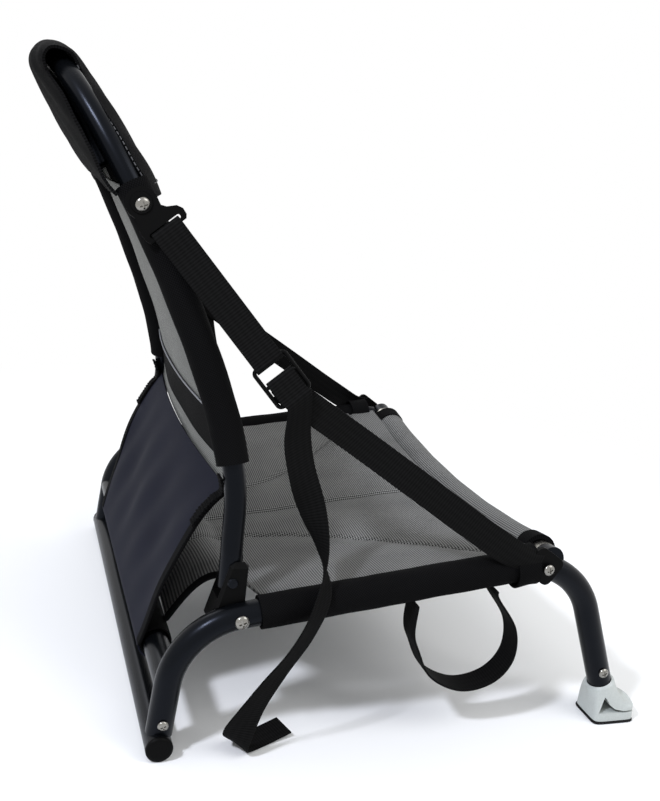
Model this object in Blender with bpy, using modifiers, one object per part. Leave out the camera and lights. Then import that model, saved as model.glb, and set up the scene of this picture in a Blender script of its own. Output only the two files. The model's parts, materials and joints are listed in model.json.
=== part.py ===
"""Kayak seat: a bent aluminium tube frame with a mesh sling seat and a folding, strap-held backrest.

Metres. +Z is up, -Y is the front of the seat, +X is the sitter's left. The origin is on the floor,
under the middle of the whole seat.
"""

import math

import bmesh
import bpy
from mathutils import Matrix, Vector

# Fits
GAP = 0.0003  # air between pieces that touch
TUBE_WALL = 0.0015

# Seat frame
RAIL_R = 0.011  # rails, floor bar and cross bars are 22 mm tube
RAIL_X = 0.2155  # middle of a side rail from the centre line
BAR_OVERHANG = 0.0135  # floor bar beyond the rail's middle, without its plug
LEG_LEAN = math.radians(5.2)  # rear leg's top leans forward
RAIL_SLOPE = math.radians(8.6)  # seat rises towards the front
RAIL_Z = 0.1094  # rail's middle line above the rear floor bar
REAR_BEND_R = 0.0645
FRONT_BEND_R = 0.0735
FRONT_CORNER_Y = -0.357
FRONT_SPLAY = math.radians(22.3)
LEG_END_Z = 0.0245  # front leg stops at this height, inside its foot
CROSS_BAR = (-0.005, 0.0605)  # y, z of the rear cross bar
FRONT_BAR_Y = -0.3345
FRONT_BAR_DIP = 0.020  # the front cross bar bows down in the middle

# Feet
FOOT_W = 0.031
SOLE_T = 0.0025
FOOT_HEEL_Y = -0.3985
FOOT_LENGTH = 0.0515
FOOT_LIP = 0.0008  # the hook bulges beyond the toe
COLLAR_R = 0.0146
COLLAR_LENGTH = 0.020

# Backrest
BACK_R = 0.009  # 18 mm tube
HINGE = (-0.050, 0.146)  # y, z of the pivot
HINGE_X = 0.200
BACK_START_Z = 0.138
PIN_R = 0.0025
FORK_WALL = 0.0042
BRACKET_FRONT = 0.0125  # bracket ahead of the pivot
BRACKET_REAR = (0.0165, 0.0020)  # behind it, at its foot and at its top
BRACKET_TOP = 0.0165
BEHIND_RAIL = 0.009  # bracket's foot below the rail's middle line

# Fabric
SLEEVE_T = 0.002
BACK_SLEEVE_T = 0.0034
MESH_T = 0.0028
SEAT_SAG = 0.020
SEAM_DEPTH = 0.0022
SLEEVE_REAR_Y = -0.0735
SLEEVE_FRONT_Y = -0.286
TONGUE_HALF = 0.128  # half width of the seat mesh where it meets the rear cross bar
TONGUE_POWER = 3.2
BINDING_CLEAR = 0.0117  # bare bar between a pocket binding and its rail
POCKET_T = 0.0036
BINDING_W = 0.0165
BINDING_R = 0.003
POCKET_HALF = RAIL_X - RAIL_R - BINDING_CLEAR - BINDING_W - 2 * GAP
ELASTIC_W = 0.010
ELASTIC_T = 0.0022

# Backrest panels, as heights of their lower and upper edges
PANEL_Z = (0.262, 0.428)
BAND_Z = (0.2265, 0.2605)
STRIP_Z = (0.2085, 0.2255)
BACK_BULGE = 0.010
HOOD_REAR_Y = 0.1085
HOOD_TUCK = 0.009  # the rear layer's side edges, drawn in to the tube
HOOD_FALL = 0.006  # the hood's side edges, below its middle at the top
APRON_HALF = (0.158, 0.150)  # half widths at its top and bottom
APRON_T = 0.0018

# Straps
WEB = 0.025
WEB_T = 0.0018
SLOT_BAR = 0.0014  # half the width of a bar that a strap turns round
EYE_R = 0.0024  # the strap's inner radius round it
STRAP_RUN = (0.255, -0.638, -0.726)
BUCKLE_W = 0.031
BUCKLE_L = 0.038
BUCKLE_T = 0.0028
SLOT_DROP = 0.027  # hanger's slot, measured from its screw along and across the strap
SLOT_LEAD = 0.0035
UPPER_LENGTH = 0.1245
STAND_OFF = EYE_R + WEB_T + GAP  # hanger's middle above the backrest's sleeve, for the strap's eye
BOSS_R = 0.0092
SCREW_R = 0.0021
HEAD_R = 0.0062
HEAD_H = 0.0026
REACH = 0.030  # how far cutters run past what they cut

BACK_SLEEVE_FOOT = 0.2345
HANGER_Z = 0.424  # height of the strap hanger's screw
HANGER_T = 0.003

# Lines of the loose pieces on the left side, from their upper ends
LOWER_STRAP = [(0.194, -0.150, 0.2570), (0.212, -0.210, 0.2195), (0.2255, -0.262, 0.1870)]
LOWER_STRAP_END = (-0.297, 0.1675)
TAIL = [
    (0.1925, -0.0960, 0.2600), (0.1920, -0.1040, 0.2290), (0.1940, -0.1160, 0.1980), (0.2090, -0.1230, 0.1690),
    (0.2370, -0.1180, 0.1400), (0.2430, -0.1040, 0.1080), (0.2420, -0.0840, 0.0760), (0.2390, -0.0680, 0.0450),
    (0.2330, -0.0610, 0.0180), (0.2220, -0.0690, 0.0040), (0.2100, -0.0900, 0.0016), (0.2020, -0.1110, 0.0048),
]
TAIL_TURNS = [
    (0, -0.85, 0.5), (0, -0.8, 0.55), (0.55, -0.7, 0.4), (1.0, -0.1, 0.1), (0.6, 0.8, -0.2), (0.35, 0.85, -0.25),
    (0.2, 0.9, -0.2), (0.1, 0.9, 0.0), (-0.5, 0.8, 0.1), (-0.95, 0.3, 0.0), (-0.95, 0.3, 0.0), (-0.95, 0.3, 0.0),
]
TIE_LOOP = [(-0.2130, 0.0850), (-0.2290, 0.0580), (-0.2600, 0.0430), (-0.2900, 0.0490), (-0.3060, 0.0700),
            (-0.3030, 0.1000)]
TIE_ENDS = (-0.2070, -0.2790)  # where a loop is sewn under its rail's sleeve
HOOD_FRONT = [(0.0105, 0.4310), (0.0200, 0.4480), (0.0360, 0.4720), (0.0500, 0.4930), (0.0660, 0.5150)]
HOOD_CREST = [(0.0790, -0.0060), (0.0895, 0.0), (0.1000, 0.0), (HOOD_REAR_Y - 0.001, -0.0070)]
HOOD_BACK = [(HOOD_REAR_Y, 0.5190), (0.1020, 0.5060), (0.0880, 0.4830), (0.0740, 0.4620), (0.0580, 0.4410),
             (0.0480, 0.4310)]

SIDES = {"right": -1, "left": 1}
FRONT_LEG_RUN = math.tan(FRONT_SPLAY)


# Collections and finishes

for old in list(bpy.data.objects):
    bpy.data.objects.remove(old, do_unlink=True)
PARTS = bpy.data.collections.new("kayak_seat")
CUTTERS = bpy.data.collections.new("cutters")
for group in (PARTS, CUTTERS):
    bpy.context.scene.collection.children.link(group)

FINISHES = {
    "anodised_tube": ((0.025, 0.026, 0.030), 0.32, 0.9),
    "moulded_black": ((0.014, 0.014, 0.016), 0.45, 0.0),
    "steel": ((0.62, 0.62, 0.60), 0.25, 1.0),
    "grey_nylon": ((0.55, 0.56, 0.55), 0.5, 0.0),
    "rubber": ((0.02, 0.02, 0.02), 0.8, 0.0),
    "seat_mesh": ((0.16, 0.16, 0.16), 0.85, 0.0),
    "back_mesh": ((0.33, 0.33, 0.33), 0.8, 0.0),
    "black_fabric": ((0.018, 0.018, 0.02), 0.85, 0.0),
    "navy_fabric": ((0.030, 0.031, 0.048), 0.8, 0.0),
    "webbing": ((0.02, 0.02, 0.021), 0.75, 0.0),
}


def finish(name):
    """The material of that name, made at its first use."""
    if name in bpy.data.materials:
        return bpy.data.materials[name]
    colour, roughness, metallic = FINISHES[name]
    material = bpy.data.materials.new(name)
    material.use_nodes = True
    shader = material.node_tree.nodes["Principled BSDF"]
    shader.inputs["Base Color"].default_value = (*colour, 1.0)
    shader.inputs["Roughness"].default_value = roughness
    shader.inputs["Metallic"].default_value = metallic
    return material


# Modelling helpers

def place(name, mesh, material=None, group=None):
    """A new object for a mesh, with its material, in a collection."""
    thing = bpy.data.objects.new(name, mesh)
    (group or PARTS).objects.link(thing)
    if material:
        mesh.materials.clear()
        mesh.materials.append(finish(material))
        mesh.shade_smooth()
        mesh.set_sharp_from_angle(angle=math.radians(35))
    return thing


def mesh_of(thing):
    """The evaluated mesh of an object, welded, which takes the object's place in the scene."""
    graph = bpy.context.evaluated_depsgraph_get()
    graph.update()
    mesh = bpy.data.meshes.new_from_object(thing.evaluated_get(graph))
    mesh.transform(thing.matrix_world)
    bpy.data.objects.remove(thing, do_unlink=True)
    build = bmesh.new()
    build.from_mesh(mesh)
    bmesh.ops.remove_doubles(build, verts=build.verts, dist=1e-6)
    bmesh.ops.recalc_face_normals(build, faces=build.faces)
    build.to_mesh(mesh)
    build.free()
    return mesh


def modified(thing, kind, **settings):
    """The object again, with one more modifier."""
    modifier = thing.modifiers.new(kind.lower(), kind)
    for key, value in settings.items():
        setattr(modifier, key, value)
    return thing


def curve_object(name, points, radius, caps=True, resolution=2, closed=False):
    """A round section along a chain of points."""
    curve = bpy.data.curves.new(name, "CURVE")
    curve.dimensions = "3D"
    curve.bevel_depth = radius
    curve.bevel_resolution = resolution
    curve.use_fill_caps = caps
    spline = curve.splines.new("POLY")
    spline.points.add(len(points) - 1)
    for point, place_at in zip(spline.points, points):
        point.co = (*place_at, 1.0)
    spline.use_cyclic_u = closed
    thing = bpy.data.objects.new(name, curve)
    PARTS.objects.link(thing)
    bpy.context.view_layer.update()
    return thing


def snug(radius, resolution):
    """The corner radius of a many-sided section whose flats clear a round of that radius."""
    return radius / math.cos(math.pi / (4 + 2 * resolution))


def rod(name, points, radius, material, resolution=2):
    """A solid round rod along a chain of points."""
    return place(name, mesh_of(curve_object(name, points, radius, resolution=resolution)), material)


def pipe(name, points, radius, wall, material, resolution=2):
    """A hollow tube along a chain of points: radius is its outside."""
    skin = mesh_of(curve_object(name, points, radius, caps=False, resolution=resolution))
    thing = place(name, skin, material)
    modified(thing, "SOLIDIFY", thickness=wall, offset=-1, use_rim=True, use_even_offset=True)
    return place(name, mesh_of(thing), material)


def outline_solid(name, loops, thickness, frame, material):
    """Flat outlines in a frame's X and Y, holes as further loops, given a thickness along its Z."""
    curve = bpy.data.curves.new(name, "CURVE")
    curve.dimensions = "2D"
    curve.fill_mode = "BOTH"
    curve.extrude = thickness / 2
    for loop in loops:
        spline = curve.splines.new("POLY")
        spline.points.add(len(loop) - 1)
        for point, (u, v) in zip(spline.points, loop):
            point.co = (u, v, 0.0, 1.0)
        spline.use_cyclic_u = True
    thing = bpy.data.objects.new(name, curve)
    PARTS.objects.link(thing)
    thing.matrix_world = frame
    bpy.context.view_layer.update()
    return place(name, mesh_of(thing), material)


def turned(name, profile, frame, material, steps=16):
    """A profile of (radius, height) from top to bottom, turned round the frame's Z."""
    mesh = bpy.data.meshes.new(name)
    mesh.from_pydata(
        [(radius, 0.0, height) for radius, height in profile],
        [(i, i + 1) for i in range(len(profile) - 1)],
        [],
    )
    thing = place(name, mesh)
    thing.matrix_world = frame
    modified(
        thing, "SCREW", axis="Z", angle=2 * math.pi, steps=steps, render_steps=steps,
        use_merge_vertices=True, merge_threshold=0.00001,
    )
    bpy.context.view_layer.update()
    return place(name, mesh_of(thing), material)


def sheet(name, rows, thickness, material, offset=0.0):
    """A surface through rows of points, given a thickness."""
    mesh = bpy.data.meshes.new(name)
    across = len(rows[0])
    faces = [
        (r * across + c, r * across + c + 1, (r + 1) * across + c + 1, (r + 1) * across + c)
        for r in range(len(rows) - 1)
        for c in range(across - 1)
    ]
    mesh.from_pydata([point for row in rows for point in row], [], faces)
    thing = place(name, mesh, material)
    modified(thing, "SOLIDIFY", thickness=thickness, offset=offset, use_rim=True)
    return place(name, mesh_of(thing), material)


def ribbon(name, points, across, width, thickness, material):
    """A flat strap along a chain of points; across gives the direction of its width at each point."""
    points = [Vector(point) for point in points]
    rows = []
    for point, direction in zip(points, across):
        half = Vector(direction).normalized() * (width / 2)
        rows.append([point - half, point + half])
    return sheet(name, rows, thickness, material)


def box(name, low, high, group=None):
    """A plain block between two corners."""
    build = bmesh.new()
    bmesh.ops.create_cube(build, size=1.0)
    low, high = Vector(low), Vector(high)
    bmesh.ops.scale(build, vec=high - low, verts=build.verts)
    bmesh.ops.translate(build, vec=(high + low) / 2, verts=build.verts)
    mesh = bpy.data.meshes.new(name)
    build.to_mesh(mesh)
    build.free()
    return place(name, mesh, group=group)


def cylinder(name, start, end, radius, group=None, sides=24):
    """A solid cylinder between two points."""
    start, end = Vector(start), Vector(end)
    build = bmesh.new()
    bmesh.ops.create_cone(
        build, cap_ends=True, segments=sides, radius1=radius, radius2=radius,
        depth=(end - start).length,
    )
    turn = (end - start).to_track_quat("Z", "Y").to_matrix().to_4x4()
    bmesh.ops.transform(build, matrix=Matrix.Translation((start + end) / 2) @ turn, verts=build.verts)
    mesh = bpy.data.meshes.new(name)
    build.to_mesh(mesh)
    build.free()
    return place(name, mesh, group=group)


def cut(thing, *cutters):
    """The object with the cutters taken out of it."""
    for cutter in cutters:
        cutter.hide_render = True
        cutter.display_type = "WIRE"
        modified(thing, "BOOLEAN", operation="DIFFERENCE", solver="EXACT", object=cutter)
    bpy.context.view_layer.update()
    return thing


# Lines that the pieces follow

SLEEVE_R = snug(RAIL_R + GAP + SLEEVE_T, 4)
POCKET_R = snug(RAIL_R + GAP + POCKET_T, 4)
BACK_SLEEVE_R = snug(BACK_R + GAP + BACK_SLEEVE_T, 4)

def smooth(points, per_span):
    """A smooth chain of points through the given ones."""
    points = [Vector(point) for point in points]
    ends = [2 * points[0] - points[1], *points, 2 * points[-1] - points[-2]]
    chain = []
    for i in range(1, len(ends) - 2):
        a, b, c, d = ends[i - 1 : i + 3]
        for k in range(per_span):
            t = k / per_span
            chain.append(
                0.5 * ((2 * b) + (c - a) * t + (2 * a - 5 * b + 4 * c - d) * t * t
                       + (3 * b - a - 3 * c + d) * t**3)
            )
    return chain + [points[-1]]


def filleted(corners, radii, steps):
    """A chain of straight runs whose inner corners are round."""
    corners = [Vector(corner) for corner in corners]
    chain = [corners[0]]
    for before, corner, after, radius in zip(corners, corners[1:], corners[2:], radii):
        inward, outward = (before - corner).normalized(), (after - corner).normalized()
        half = inward.angle(outward) / 2
        centre = corner + (inward + outward).normalized() * (radius / math.sin(half))
        start = corner + inward * (radius / math.tan(half)) - centre
        end = corner + outward * (radius / math.tan(half)) - centre
        turn = start.angle(end)
        for k in range(steps + 1):
            share = turn * k / steps
            chain.append(centre + (start * math.sin(turn - share) + end * math.sin(share)) / math.sin(turn))
    return chain + [corners[-1]]


def rail_z(y):
    """Height of a side rail's middle line at y."""
    return RAIL_R + RAIL_Z - math.tan(RAIL_SLOPE) * (y + 0.07)


def rail_point(side, y, up=0.0, out=0.0):
    """A point beside a rail's straight run."""
    return Vector((side * (RAIL_X + out), y, rail_z(y) + up))


def leg_point(side, z, out=0.0):
    """A point on the front leg's middle line at height z."""
    corner_z = rail_z(FRONT_CORNER_Y)
    return Vector((side * (RAIL_X + out), FRONT_CORNER_Y - FRONT_LEG_RUN * (corner_z - z), z))


def rear_corner():
    """Where the rear leg's line meets the rail's line, as y and z."""
    lean, slope = math.tan(LEG_LEAN), math.tan(RAIL_SLOPE)
    rise = (rail_z(0.0) - RAIL_R) / (1 - slope * lean)
    return -lean * rise, RAIL_R + rise


def rail_line(side):
    """The side rail's middle line, from the floor bar to its front foot."""
    corner_y, corner_z = rear_corner()
    foot = RAIL_R * 0.55
    corners = [
        (side * RAIL_X, -math.tan(LEG_LEAN) * foot, RAIL_R + foot),
        (side * RAIL_X, corner_y, corner_z),
        (side * RAIL_X, FRONT_CORNER_Y, rail_z(FRONT_CORNER_Y)),
        leg_point(side, LEG_END_Z),
    ]
    return filleted(corners, (REAR_BEND_R, FRONT_BEND_R), 6)


def rail_height(y):
    """Height of the side rail's middle line at y, its rear bend included."""
    line = rail_line(1)
    for low, high in zip(line[2:], line[3:]):
        if high.y <= y <= low.y:
            return low.lerp(high, (low.y - y) / (low.y - high.y)).z
    raise ValueError(f"the rail isn't at {y}")


def front_bar_point(x):
    """A point on the bowed front cross bar's middle line."""
    share = 1 - (x / RAIL_X) ** 2
    return Vector((x, FRONT_BAR_Y, rail_z(FRONT_BAR_Y) - FRONT_BAR_DIP * share))


BACK_POINTS = [  # right half of the backrest tube's middle line, from above its fork to its top
    (-HINGE_X, HINGE[0], HINGE[1] + 0.020),
    (-0.1850, -0.0505, 0.222),
    (-0.1670, -0.0340, 0.286),
    (-0.1470, -0.0010, 0.364),
    (-0.1290, 0.0290, 0.424),
    (-0.1070, 0.0560, 0.471),
    (-0.0760, 0.0785, 0.506),
    (-0.0400, 0.0900, 0.522),
    (0.0, 0.0935, 0.5265),
]
BACK_ENDS = [Vector((side * HINGE_X, HINGE[0], BACK_START_Z)) for side in (-1, 1)]
BACK_LINE = [
    BACK_ENDS[0],
    *smooth(BACK_POINTS + [(-x, y, z) for x, y, z in reversed(BACK_POINTS[:-1])], 2),
    BACK_ENDS[1],
]


def back_at(z, side=-1):
    """The point of the backrest tube's middle line at height z, below its top."""
    half = BACK_LINE[: len(BACK_LINE) // 2 + 1]
    for low, high in zip(half, half[1:]):
        if low.z <= z <= high.z:
            point = low.lerp(high, (z - low.z) / (high.z - low.z))
            return Vector((-side * point.x, point.y, point.z))
    raise ValueError(f"the backrest tube isn't at height {z}")


def back_stretch(low, high, side):
    """The backrest tube's middle line between two heights."""
    half = BACK_LINE[: len(BACK_LINE) // 2 + 1]
    between = [Vector((-side * p.x, p.y, p.z)) for p in half if low + 0.002 < p.z < high - 0.002]
    return [back_at(low, side), *between, back_at(high, side)]


def seat_half(y):
    """Half the seat mesh's width at y: it narrows in an arc behind the rails."""
    full = RAIL_X - SLEEVE_R - GAP
    start, end = SLEEVE_REAR_Y - 0.004, TONGUE_END[0]
    if y <= start:
        return full
    return TONGUE_HALF + (full - TONGUE_HALF) * max(0.0, (end - y) / (end - start)) ** TONGUE_POWER


TONGUE_END = (
    CROSS_BAR[0] - (SLEEVE_R + GAP + MESH_T / 2) * math.sin(math.radians(50)),
    CROSS_BAR[1] + (SLEEVE_R + GAP + MESH_T / 2) * math.cos(math.radians(50)),
)


def seat_z(x, y):
    """Height of the seat mesh's middle: it sags between the rails and drops to the rear cross bar."""
    turn_y = SLEEVE_REAR_Y
    share = 1 - (x / seat_half(y)) ** 2
    if y <= turn_y:
        return rail_z(y) + 0.004 - SEAT_SAG * share
    t = max(0.0, (TONGUE_END[0] - y) / (TONGUE_END[0] - turn_y))
    rise = math.sin(t * math.pi / 2)
    edge = TONGUE_END[1] + (rail_z(turn_y) + 0.004 - TONGUE_END[1]) * rise
    return edge - SEAT_SAG * share * t**1.5


# Seat frame pieces

def floor_bar():
    """The tube that lies on the floor behind, with its plugs."""
    end = RAIL_X + BAR_OVERHANG
    bar = pipe(
        "rear_floor_bar", [(-end, 0, RAIL_R), (end, 0, RAIL_R)], RAIL_R, TUBE_WALL,
        "anodised_tube", resolution=4,
    )
    inner = RAIL_R / snug(1.0, 4) - TUBE_WALL - GAP
    for name, side in SIDES.items():
        frame = Matrix.Translation((side * (end + GAP), 0, RAIL_R)) @ Matrix.Rotation(
            side * math.pi / 2, 4, "Y"
        )
        profile = [
            (0.0, 0.0026), (RAIL_R - 0.0016, 0.0026), (RAIL_R - 0.0004, 0.0018), (RAIL_R, 0.0006),
            (RAIL_R, 0.0), (inner, 0.0), (inner - 0.0004, -0.0115), (0.0, -0.0115),
        ]
        turned(f"floor_bar_plug_{name}", profile, frame, "moulded_black", steps=16)
    return bar


def screw(name, head_at, outwards, length, head_r=HEAD_R):
    """A pan head screw: its head's underside is at head_at."""
    turn = Vector(outwards).to_track_quat("Z", "Y").to_matrix().to_4x4()
    profile = [
        (0.0, HEAD_H), (head_r * 0.5, HEAD_H * 0.95), (head_r * 0.85, HEAD_H * 0.62),
        (head_r, HEAD_H * 0.2), (head_r * 0.97, 0.0), (SCREW_R, 0.0), (SCREW_R, -length), (0.0, -length),
    ]
    return turned(name, profile, Matrix.Translation(head_at) @ turn, "steel", steps=10)


def screw_hole(name, start, end):
    """The cutter of a clearance hole for a screw."""
    return cylinder(name, start, end, SCREW_R + GAP, group=CUTTERS, sides=14)


def pin_hole(name, side):
    """The cutter of a pivot pin's hole."""
    start, end = (side * (HINGE_X - REACH), *HINGE), (side * (HINGE_X + REACH), *HINGE)
    return cylinder(name, start, end, PIN_R + GAP, CUTTERS, 16)


SIDE_ON = Matrix(((0, 0, 1, 0), (1, 0, 0, 0), (0, 1, 0, 0), (0, 0, 0, 1)))  # an outline's X and Y as y and z
RAIL_SCREW_Y = HINGE[0] - 0.0075
ANCHOR_SCREW_Y = -0.3215
FOOT_SCREW_Z = 0.050
LEG_SCREW_Z = 2 * RAIL_R + 0.0085
ANCHOR_T = 0.0028


def side_rails():
    """Both bent side rails, coped onto the floor bar and drilled for their screws."""
    for name, side in SIDES.items():
        rail = pipe(f"side_rail_{name}", rail_line(side), RAIL_R, TUBE_WALL, "anodised_tube")
        outer, inner = side * (RAIL_X + 2 * RAIL_R), side * RAIL_X
        through = side * (RAIL_X - 2 * RAIL_R)
        leg_y = -math.tan(LEG_LEAN) * (LEG_SCREW_Z - RAIL_R)
        foot = leg_point(side, FOOT_SCREW_Z)
        anchor_z, bracket_z = rail_z(ANCHOR_SCREW_Y), rail_height(RAIL_SCREW_Y)
        cut(
            rail,
            cylinder(f"cope_{name}", (outer, 0, RAIL_R), (through, 0, RAIL_R), RAIL_R + GAP, CUTTERS, 32),
            screw_hole(f"leg_hole_{name}", (outer, leg_y, LEG_SCREW_Z), (inner, leg_y, LEG_SCREW_Z)),
            screw_hole(f"foot_hole_{name}", (outer, foot.y, foot.z), (inner, foot.y, foot.z)),
            screw_hole(
                f"anchor_hole_{name}", (outer, ANCHOR_SCREW_Y, anchor_z), (inner, ANCHOR_SCREW_Y, anchor_z)
            ),
            screw_hole(
                f"bracket_hole_{name}",
                (outer, RAIL_SCREW_Y, bracket_z), (through, RAIL_SCREW_Y, bracket_z),
            ),
        )
        face = side * (RAIL_X + RAIL_R + GAP)
        out = (side, 0, 0)
        screw(f"leg_screw_{name}", (face, leg_y, LEG_SCREW_Z), out, 0.008, head_r=HEAD_R * 0.75)
        screw(f"foot_screw_{name}", (face, foot.y, foot.z), out, 0.008, head_r=HEAD_R * 0.8)
        screw(f"bracket_screw_{name}", (face, RAIL_SCREW_Y, bracket_z), out, 0.0275)
        face += side * (ANCHOR_T + WEB_T + 2 * GAP)
        screw(f"anchor_screw_{name}", (face, ANCHOR_SCREW_Y, anchor_z), out, 0.012, head_r=HEAD_R * 0.85)


def rail_space(name):
    """The cutter for what seats on a side rail: the rail with its clearance."""
    title = f"rail_space_{name}"
    if title in CUTTERS.objects:
        return CUTTERS.objects[title]
    line = rail_line(SIDES[name])
    solid = mesh_of(curve_object(title, line, snug(RAIL_R + GAP, 4), resolution=4))
    return place(title, solid, group=CUTTERS)


def cross_bars():
    """The low rear cross bar and the bowed front one, both coped between the rails."""
    y, z = CROSS_BAR
    rear = pipe(
        "rear_cross_bar", [(-RAIL_X, y, z), (RAIL_X, y, z)], RAIL_R, TUBE_WALL, "anodised_tube"
    )
    front_line = [front_bar_point(RAIL_X * (k / 4 - 1)) for k in range(9)]
    front = pipe("front_cross_bar", front_line, RAIL_R, TUBE_WALL, "anodised_tube")
    for name, side in SIDES.items():
        cutter = rail_space(name)
        cut(rear, cutter)
        cut(front, cutter)
        over = RAIL_X + REACH
        for bar, by, bz in ((rear, y, z), (front, FRONT_BAR_Y, rail_z(FRONT_BAR_Y))):
            low = (side * RAIL_X, by - REACH, bz - REACH)
            high = (side * over, by + REACH, bz + REACH)
            block = box(
                f"trim_{bar.name}_{name}",
                [min(a, b) for a, b in zip(low, high)], [max(a, b) for a, b in zip(low, high)],
                group=CUTTERS,
            )
            cut(bar, block)


def feet():
    """Clip feet on the front legs, each with its hook gap, leg socket and rubber sole."""
    heel, toe = FOOT_HEEL_Y, FOOT_HEEL_Y - FOOT_LENGTH
    base_top, low = SOLE_T + 0.0055, SOLE_T + GAP
    outline = [
        (heel, low), (toe + 0.004, low), (toe + 0.0015, low + 0.002), (toe + 0.001, base_top),
        (toe + 0.013, base_top + 0.0012), (heel - 0.0165, base_top + 0.0012),
        (heel - 0.0235, base_top + 0.0115), (heel - 0.0265, base_top + 0.0105),
        (heel - 0.0325, base_top + 0.0045), (heel - 0.0400, base_top + 0.0023),
        (toe + 0.0015, base_top + 0.0018), (toe - FOOT_LIP, base_top + 0.0050),
        (toe + 0.0010, base_top + 0.0105), (toe + 0.0085, base_top + 0.0165),
        (toe + 0.0150, base_top + 0.0245), (heel - 0.0140, base_top + 0.0275),
        (heel - 0.0010, base_top + 0.0225), (heel, base_top + 0.0120),
    ]
    for name, side in SIDES.items():
        frame = Matrix.Translation((side * (RAIL_X - 0.0005), 0, 0)) @ SIDE_ON
        foot = outline_solid(f"front_foot_{name}", [outline], FOOT_W, frame, "grey_nylon")
        modified(foot, "BEVEL", width=0.0012, segments=1, limit_method="ANGLE", angle_limit=math.radians(50))
        bottom, top = leg_point(side, LEG_END_Z), leg_point(side, LEG_END_Z + 0.05)
        along = (top - bottom).normalized()
        collar_at = bottom + along * 0.001
        collar = cylinder(
            f"collar_{name}", collar_at, collar_at + along * COLLAR_LENGTH, COLLAR_R, CUTTERS, 24
        )
        modified(foot, "BOOLEAN", operation="UNION", solver="EXACT", object=collar)
        collar.hide_render = True
        collar.display_type = "WIRE"
        cut(foot, cylinder(f"socket_{name}", bottom - along * GAP, top, RAIL_R + GAP, CUTTERS, 24))
        sole_outline = [
            (heel + 0.001, -0.0), (heel + 0.001, -FOOT_W - 0.002), (toe + 0.002, -FOOT_W - 0.002),
            (toe + 0.002, 0.0),
        ]
        middle = side * (RAIL_X - 0.0005) + (FOOT_W + 0.002) / 2
        sole_frame = Matrix.Translation((middle, 0, SOLE_T / 2)) @ Matrix(
            ((0, 1, 0, 0), (1, 0, 0, 0), (0, 0, -1, 0), (0, 0, 0, 1))
        )
        sole = outline_solid(f"foot_sole_{name}", [sole_outline], SOLE_T, sole_frame, "rubber")
        modified(sole, "BEVEL", width=0.0005, segments=1, limit_method="ANGLE", angle_limit=math.radians(50))


def pivots():
    """The forks that hold the backrest's ends on the rails, and their pins."""
    y, z = HINGE
    slot = BACK_R + GAP * 1.5
    for name, side in SIDES.items():
        low = rail_height(y) - BEHIND_RAIL
        outline = [
            (y - BRACKET_FRONT, low), (y + BRACKET_REAR[0], low),
            (y + BRACKET_REAR[1], z + BRACKET_TOP), (y - BRACKET_FRONT, z + BRACKET_TOP),
        ]
        frame = Matrix.Translation((side * HINGE_X, 0, 0)) @ SIDE_ON
        width = 2 * (slot + FORK_WALL)
        bracket = outline_solid(f"pivot_bracket_{name}", [outline], width, frame, "moulded_black")
        modified(bracket, "BEVEL", width=0.0035, segments=1, limit_method="ANGLE")
        floor_z = rail_height(y) + RAIL_R + 0.0035
        cut(
            bracket,
            rail_space(name),
            box(
                f"fork_slot_{name}",
                (side * HINGE_X - slot, y - REACH, floor_z), (side * HINGE_X + slot, y + REACH, z + REACH),
                group=CUTTERS,
            ),
            pin_hole(f"pin_hole_{name}", side),
            screw_hole(
                f"bracket_thread_{name}",
                (side * RAIL_X, RAIL_SCREW_Y, rail_height(RAIL_SCREW_Y)),
                (side * (RAIL_X - 0.0275), RAIL_SCREW_Y, rail_height(RAIL_SCREW_Y)),
            ),
        )
        reach = slot + FORK_WALL + GAP
        profile = [
            (0.0, reach + 0.0016), (PIN_R + 0.0012, reach + 0.0013), (PIN_R + 0.002, reach),
            (PIN_R, reach), (PIN_R, -reach), (PIN_R + 0.002, -reach),
            (PIN_R + 0.0012, -reach - 0.0013), (0.0, -reach - 0.0016),
        ]
        frame = Matrix.Translation((side * HINGE_X, y, z)) @ Matrix.Rotation(math.pi / 2, 4, "Y")
        turned(f"pivot_pin_{name}", profile, frame, "anodised_tube", steps=14)


# Seat fabric

def seam_dip(x, y):
    """How far the seams pull the seat mesh down: one in the middle, one curving out to each side."""
    fore = min(max((-0.04 - y) / 0.19, 0.0), 1.4)
    lines = [0.0, 0.046 + 0.085 * fore**2.2]
    spread = min(abs(abs(x) - line) for line in lines)
    return SEAM_DEPTH * math.exp(-((spread / 0.005) ** 2))


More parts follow.
